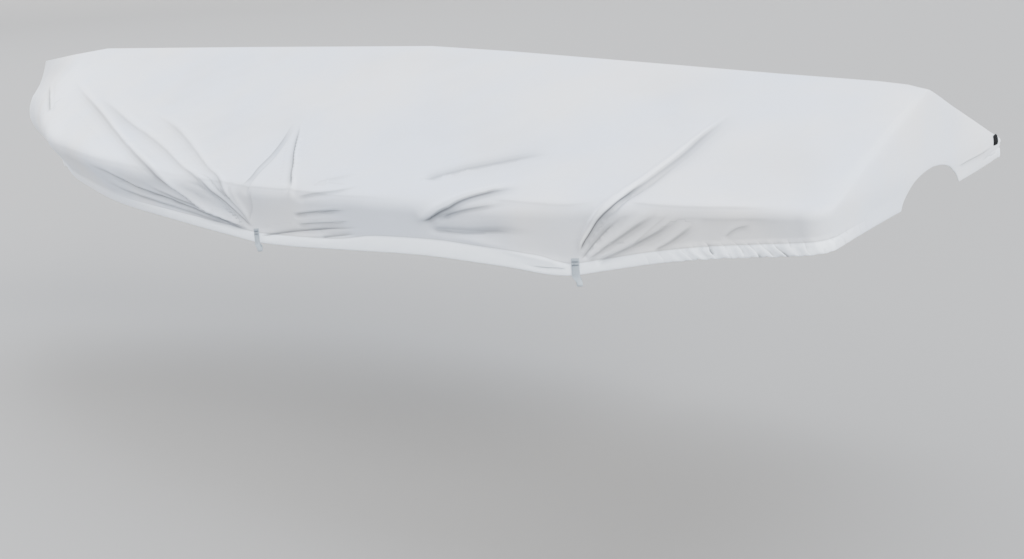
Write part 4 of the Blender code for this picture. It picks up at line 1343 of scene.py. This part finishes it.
def tab_path():
    """Middle line of the webbing seen along the hem, as (out, up): down the under ply, round the loop and up
    the top ply."""
    half = LOOP_DEPTH / 2 - WEBBING / 2
    bottom = -LOOP_DROP + LOOP_DEPTH / 2
    turn = np.linspace(0, math.pi, 15)[1:-1]
    # how far out of the two plies' meeting line the webbing swings on its way into the loop and out of it
    narrow, wide = half * 0.62, half * 0.93
    under = [(WEBBING / 2, u) for u in np.linspace(TAB_ON_HEM, -0.003, 13)]
    swing = [(WEBBING / 2 - 0.0012, -0.0070), (WEBBING - narrow, -0.0105), (WEBBING - wide, -0.0140)]
    back = [(WEBBING - half, u) for u in np.linspace(LOOP_FULL_UP, bottom, 4)]
    bend = [(WEBBING - half * math.cos(a), bottom - half * math.sin(a)) for a in turn]
    front = [(WEBBING + half, u) for u in np.linspace(bottom, LOOP_FULL_UP, 4)]
    ease = [(WEBBING + wide, -0.0140), (WEBBING + narrow, -0.0100), (WEBBING * 1.5 + 0.0008, -0.0060)]
    over = [(WEBBING * 1.5, u) for u in np.linspace(-0.002, TAB_ON_HEM, 13)]
    return np.array(under + swing + back + bend + front + ease + over)


def ribbon(path, widths, thickness):
    """A band swept along a flat path: cross-sections of eight points, a rectangle with softened edges."""
    heading = unit(np.gradient(path, axis=0))
    side = np.column_stack([-heading[:, 1], heading[:, 0]])
    half = thickness / 2
    soft = half * RIBBON_SOFTNESS
    outline = np.array([
        (-1, -half + soft), (-1, half - soft), (-RIBBON_FLAT, half), (RIBBON_FLAT, half),
        (1, half - soft), (1, -half + soft), (RIBBON_FLAT, -half), (-RIBBON_FLAT, -half),
    ])
    places = path[:, None, :] + side[:, None, :] * outline[None, :, 1:2]
    across = outline[None, :, 0] * widths[:, None] / 2
    return places, across


def tube_faces(count, around):
    """Quads of a tube grid with its two end caps."""
    index = np.arange(count * around).reshape(count, around)
    turned = np.roll(index, -1, axis=1)
    return [grid_quads(index, turned), index[0][::-1][None, :], index[-1][None, :]]


def make_tab(name, tab_x, side, webbing, thread):
    """A webbing tab of one length folded double, its loop a little pinched, with two rows of bar tacks."""
    foot, out, up, along = tab_frame(tab_x + TAB_AFT[name.split("_")[1]])
    mirror = np.array([1, -side, 1])
    path = tab_path()
    lowness = smooth((LOOP_FROM_UP - path[:, 1]) / LOOP_TURNS_OVER)
    widths = WEBBING_WIDTH * WOVEN_WIDTH * (1 - LOOP_PINCH * lowness)
    places, across = ribbon(path, widths, WEBBING * WOVEN_THICKNESS)
    # the loop turns about its own upright middle line, more the lower it hangs
    turn = (LOOP_TWIST * lowness)[:, None]
    away = places[:, :, 0] - WEBBING
    turned_away = away * np.cos(turn) + across * np.sin(turn)
    turned_across = across * np.cos(turn) - away * np.sin(turn) + LOOP_DRIFT * lowness[:, None]
    points = (
        foot
        + (WEBBING + turned_away)[:, :, None] * out
        + places[:, :, 1:] * up
        + turned_across[:, :, None] * along
    ) * mirror
    length = distances_along(path)
    uv = np.stack([across, np.tile(length[:, None], (1, across.shape[1]))], axis=2).reshape(-1, 2)
    faces = tube_faces(len(path), across.shape[1])
    if side < 0:
        faces = [block[:, ::-1] for block in faces]
    tab = new_mesh_object("loop_" + name, points.reshape(-1, 3), faces, webbing, uv)
    stitches = make_bar_tacks("stitches_" + name, foot, out, up, along, mirror, side, thread)
    return tab, stitches


def make_bar_tacks(name, foot, out, up, along, mirror, side, material):
    """Two bar tacks across a tab: thread laid in a tight zigzag over the outer ply."""
    blocks, faces, offset = [], [], 0
    steps = np.arange(2 * TACK_TURNS + 1)
    across = (steps / (2 * TACK_TURNS) - 0.5) * WEBBING_WIDTH * TACK_WIDTH
    for middle in TACK_ROWS:
        height = middle + np.where(steps % 2, 0.5, -0.5) * TACK_HEIGHT
        line = foot + out * (WEBBING * TACK_OUT) + across[:, None] * along + height[:, None] * up
        tube, block = thread_tube(line, THREAD / 2)
        blocks.append(tube)
        faces += [f + offset for f in block]
        offset += len(tube)
    points = np.concatenate(blocks) * mirror
    if side > 0:
        faces = [block[:, ::-1] for block in faces]
    return new_mesh_object(name, points, faces, material)


def thread_tube(line, radius):
    """A round thread along a polyline: a circle at each point, square to the local heading."""
    heading = unit(np.gradient(line, axis=0))
    side = unit(np.cross(heading, THREAD_SIDE))
    other = np.cross(heading, side)
    angle = np.linspace(0, 2 * math.pi, THREAD_CORNERS, endpoint=False)
    ring = side[:, None, :] * np.cos(angle)[:, None] + other[:, None, :] * np.sin(angle)[:, None]
    points = (line[:, None, :] + radius * ring).reshape(-1, 3)
    return points, tube_faces(len(line), THREAD_CORNERS)


RIBBON_FLAT = 0.96  # share of its width over which the webbing has its full thickness
RIBBON_SOFTNESS = 0.3
WOVEN_WIDTH = 0.94  # the drawn webbing's shares of the solid tab's width and thickness
WOVEN_THICKNESS = 0.8
LOOP_FULL_UP = -0.0170
LOOP_FROM_UP = -0.001
LOOP_TURNS_OVER = 0.022
LOOP_PINCH = 0.38
LOOP_TWIST = math.radians(-38)
LOOP_DRIFT = 0.010
TAB_AFT = {"fore": 0.0070, "aft": 0.0095}  # how far aft of the drawn place each port tab is sewn
TACK_ROWS = (0.0347, 0.0254)
TACK_HEIGHT = 0.0042
TACK_TURNS = 19
TACK_WIDTH = 0.84  # of the webbing's width
TACK_OUT = 1.95  # webbing thicknesses out from the hem
THREAD = 0.0008
THREAD_CORNERS = 6
THREAD_SIDE = (0.13, 0.22, 0.97)  # a direction that no row of tacks runs along


# ---------------------------------------------------------------------------------------------------------
# Hem stitching
# ---------------------------------------------------------------------------------------------------------
STITCH_PITCH = 0.0052
STITCH_LENGTH = 0.0036
STITCH_WIDTH = 0.0008
STITCH_RISE = 0.0004
STITCH_LIFT = (-0.0005, 0.0001, -0.0005)  # of its first end, its middle and its last end
STITCH_BELOW_SEAM = 0.0022
TRANSOM_SEAM_UP = 0.0090


def make_hem_stitches(surface, normals, up, material):
    """The hem's seam: short stitches at an even pitch, each a three-sided bar that dips into the cloth at
    its ends. They follow the casing's seam, and the narrow turn-up across the transom."""
    columns = np.arange(surface.shape[1])
    share = casing_share(surface)
    seam_up = (seam_height(surface) - STITCH_BELOW_SEAM) * share + TRANSOM_SEAM_UP * (1 - share)
    line = np.array([interpolate(seam_up[c], up[:, c], surface[:, c]) for c in columns])
    facing = normals[np.argmin(np.abs(up - seam_up), axis=0), columns]
    line, facing = [np.vstack([values, values[:1]]) for values in (line, facing)]
    length = distances_along(line)
    starts = np.arange(0, length[-1] - STITCH_PITCH, STITCH_PITCH)
    places = (starts[:, None] + np.linspace(0, 1, 3) * STITCH_LENGTH).ravel()
    spots = interpolate(places, length, line).reshape(len(starts), 3, 3)
    out = unit(interpolate(places, length, facing)).reshape(len(starts), 3, 3)
    heading = unit(spots[:, -1:] - spots[:, :1])
    side = np.cross(heading, out) * STITCH_WIDTH / 2
    middle = spots + out * np.array(STITCH_LIFT)[None, :, None]
    corners = np.stack([middle - side, middle + out * STITCH_RISE, middle + side], axis=2)
    base = np.arange(len(starts))[:, None] * 9
    quads = []
    for step in range(2):
        for k in range(3):
            a, b = base + step * 3 + k, base + step * 3 + (k + 1) % 3
            quads.append(np.concatenate([a, b, b + 3, a + 3], axis=1))
    ends = [base + np.array([0, 2, 1]), base + np.array([6, 7, 8])]
    faces = [np.concatenate(quads), np.concatenate(ends)]
    return new_mesh_object("hem_stitches", corners.reshape(-1, 3), faces, material)


# ---------------------------------------------------------------------------------------------------------
# Sewn patch
# ---------------------------------------------------------------------------------------------------------
PATCH_HALF_WIDTH = 0.0235
PATCH_HALF_HEIGHT = 0.0160
PATCH_THICKNESS = 0.0012
PATCH_LIFT = 0.0005
PATCH_COUNT = 15
PATCH_ROUNDING = 0.16
PATCH_EDGE_DROP = 0.5  # of its thickness
PATCH_REACH = 0.06  # how far from its middle the cloth that carries it is read
PATCH_STIFFNESS = 0.006  # over how many metres it evens out the cloth below it


def make_patch(surface, normals, material):
    """The sewn patch on the starboard stern corner: a thin sheet with rounded corners, laid on the cloth."""
    low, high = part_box("corner_patch")
    middle = (np.array(low) + np.array(high)) / 2
    points = surface.reshape(-1, 3)
    facings = normals.reshape(-1, 3)
    from_middle = np.linalg.norm(points - middle, axis=1)
    nearest = int(from_middle.argmin())
    out = facings[nearest]
    level = unit(np.cross([0, 0, 1], out))
    rise = np.cross(out, level)
    spread = np.linspace(-1, 1, PATCH_COUNT)
    u, v = np.meshgrid(spread, spread)
    # square grid squeezed towards a rounded rectangle
    round_u = u * np.sqrt(1 - PATCH_ROUNDING * v**6 * np.abs(u) ** 3) * PATCH_HALF_WIDTH
    round_v = v * np.sqrt(1 - PATCH_ROUNDING * u**6 * np.abs(v) ** 3) * PATCH_HALF_HEIGHT
    flat = points[nearest] + round_u[..., None] * level + round_v[..., None] * rise
    near = points[from_middle < PATCH_REACH]
    near_out = facings[from_middle < PATCH_REACH]
    gaps = np.linalg.norm(flat[:, :, None, :] - near[None, None, :, :], axis=3)
    weights = np.exp(-((gaps / PATCH_STIFFNESS) ** 2)) + 1e-12
    weights /= weights.sum(axis=2, keepdims=True)
    height = np.einsum("ijk,ijkl,l->ij", weights, near[None, None] - flat[:, :, None, :], out)
    base = flat + height[..., None] * out
    facing = unit(np.einsum("ijk,kl->ijl", weights, near_out))
    under = base + facing * PATCH_LIFT
    crown = 1 - np.maximum(np.abs(u), np.abs(v)) ** 8 * PATCH_EDGE_DROP
    over = base + facing * (PATCH_LIFT + PATCH_THICKNESS * crown[..., None])
    all_points = np.concatenate([over.reshape(-1, 3), under.reshape(-1, 3)])
    index = np.arange(u.size).reshape(u.shape)
    top = grid_quads(index[:, :-1], index[:, 1:])
    bottom = top[:, ::-1] + u.size
    loop = np.concatenate([index[0, :-1], index[:-1, -1], index[-1, :0:-1], index[:0:-1, 0]])
    after = np.roll(loop, -1)
    rim = np.stack([loop, loop + u.size, after + u.size, after], axis=1)
    uv = np.tile(np.stack([u * PATCH_HALF_WIDTH, v * PATCH_HALF_HEIGHT], axis=2).reshape(-1, 2), (2, 1))
    return new_mesh_object("patch", all_points, [top, bottom, rim], material, uv)


# ---------------------------------------------------------------------------------------------------------
# Stage: floor, lights, camera
# ---------------------------------------------------------------------------------------------------------
FLOOR_Z = -1.404
CAMERA_PLACE = (3.0004, -3.2705, 0.2542)
CAMERA_TURN = 0.6887
CAMERA_DOWN = 0.2485
CAMERA_ROLL = -0.0633
CAMERA_LENS_MM = 43.15


def make_stage():
    """A wide grey floor that curves up far away, a soft sky, and four broad soft suns."""
    angle = np.linspace(0, 2 * math.pi, 65)[:-1]
    profile = np.array(FLOOR_PROFILE)
    ring = np.stack([np.cos(angle), np.sin(angle)], axis=1)
    rows = [
        np.column_stack([radius * ring, np.full(len(ring), FLOOR_Z + rise)]) for radius, rise in profile
    ]
    index = np.arange(len(profile) * len(angle)).reshape(len(profile), len(angle))
    turned = np.roll(index, -1, axis=1)
    quads = np.stack([index[:-1], index[1:], turned[1:], turned[:-1]], axis=2).reshape(-1, 4)
    floor = new_mesh_object("floor", np.concatenate(rows), [quads, index[:1]], floor_material())
    world = bpy.data.worlds.new("soft_sky")
    bpy.context.scene.world = world
    world.use_nodes = True
    sky = world.node_tree.nodes["Background"]
    sky.inputs["Color"].default_value = linear(SKY_COLOUR)
    sky.inputs["Strength"].default_value = SKY_STRENGTH
    for name, towards, strength, spread, colour in LIGHTS:
        add_light(name, towards, strength, spread, colour)


FLOOR_PROFILE = (
    # radius  height above the floor, metres
    (4.0, 0.0),
    (40.0, 0.0),
    (60.0, 0.4),
    (72.0, 2.5),
    (78.0, 7.0),
    (80.0, 14.0),
)
SKY_COLOUR = "E4ECFA"
SKY_STRENGTH = 1.00
LIGHTS = (
    # name        towards the light    strength  spread  colour
    ("overhead", (0.10, 0.40, 0.90), 3.4, 50, "EAF2FF"),
    ("camera_side", (0.10, -0.90, 0.40), 2.1, 60, "FFF8F0"),
    ("stern_side", (0.92, -0.25, 0.25), 10.5, 50, "FFFCF7"),
    ("bow_side", (-0.97, 0.00, 0.12), 10.0, 50, "FAFCFF"),
)


def placed(directions, place):
    """The matrix of something that stands at a place, with its x, y and z along three directions."""
    turned = np.column_stack(directions)
    return Matrix([list(turned[i]) + [place[i]] for i in range(3)] + [[0, 0, 0, 1]])


def add_light(name, towards, strength, spread, colour):
    """A sun with soft edges: spread is its angle in degrees."""
    data = bpy.data.lights.new(name, "SUN")
    data.energy = strength
    data.angle = math.radians(spread)
    data.color = linear(colour)[:3]
    light = bpy.data.objects.new(name, data)
    back = unit(np.array(towards, dtype=float))
    across = unit(np.cross([0, 0, 1], back))
    light.matrix_world = placed([across, np.cross(back, across), back], back * 10)
    bpy.context.scene.collection.objects.link(light)


def make_camera():
    """The camera: turned, looking down and rolled by named angles."""
    forward = np.array([
        -math.sin(CAMERA_TURN) * math.cos(CAMERA_DOWN),
        math.cos(CAMERA_TURN) * math.cos(CAMERA_DOWN),
        -math.sin(CAMERA_DOWN),
    ])
    level = np.array([math.cos(CAMERA_TURN), math.sin(CAMERA_TURN), 0.0])
    upright = np.cross(level, forward)
    right = level * math.cos(CAMERA_ROLL) + upright * math.sin(CAMERA_ROLL)
    top = -level * math.sin(CAMERA_ROLL) + upright * math.cos(CAMERA_ROLL)
    data = bpy.data.cameras.new("camera")
    data.lens = CAMERA_LENS_MM
    data.sensor_width = 36.0
    data.clip_end = 200.0
    camera = bpy.data.objects.new("camera", data)
    camera.matrix_world = placed([right, top, -forward], CAMERA_PLACE)
    bpy.context.scene.collection.objects.link(camera)
    bpy.context.scene.camera = camera


# ---------------------------------------------------------------------------------------------------------
# Everything together
# ---------------------------------------------------------------------------------------------------------
def main():
    """The cover with all that is sewn to it, its stage and its camera."""
    cloth = cloth_material()
    webbing = webbing_material()
    thread = thread_material("pale_sewing_thread", "BCC3CA", "CDD3D9")
    tack_thread = thread_material("grey_sewing_thread", "6F7983", "8C959E")
    cover, surface, normals, up = make_cover(cloth)
    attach(cover, "root")
    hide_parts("cover")
    hem_stitches = make_hem_stitches(surface, normals, up, thread)
    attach(hem_stitches, "root")
    with_cover = [hem_stitches]
    for side_name, side in (("port", -1), ("starboard", 1)):
        for tab_name, tab_x in TABS:
            name = side_name + "_" + tab_name
            tab, stitches = make_tab(name, tab_x, side, webbing, tack_thread)
            for piece in (tab, stitches):
                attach(piece, "root")
            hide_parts("loop_" + name)
            with_cover += [tab, stitches]
    patch = make_patch(surface, normals, patch_material())
    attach(patch, "root")
    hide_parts("corner_patch")
    with_cover.append(patch)
    make_stage()
    make_camera()


main()
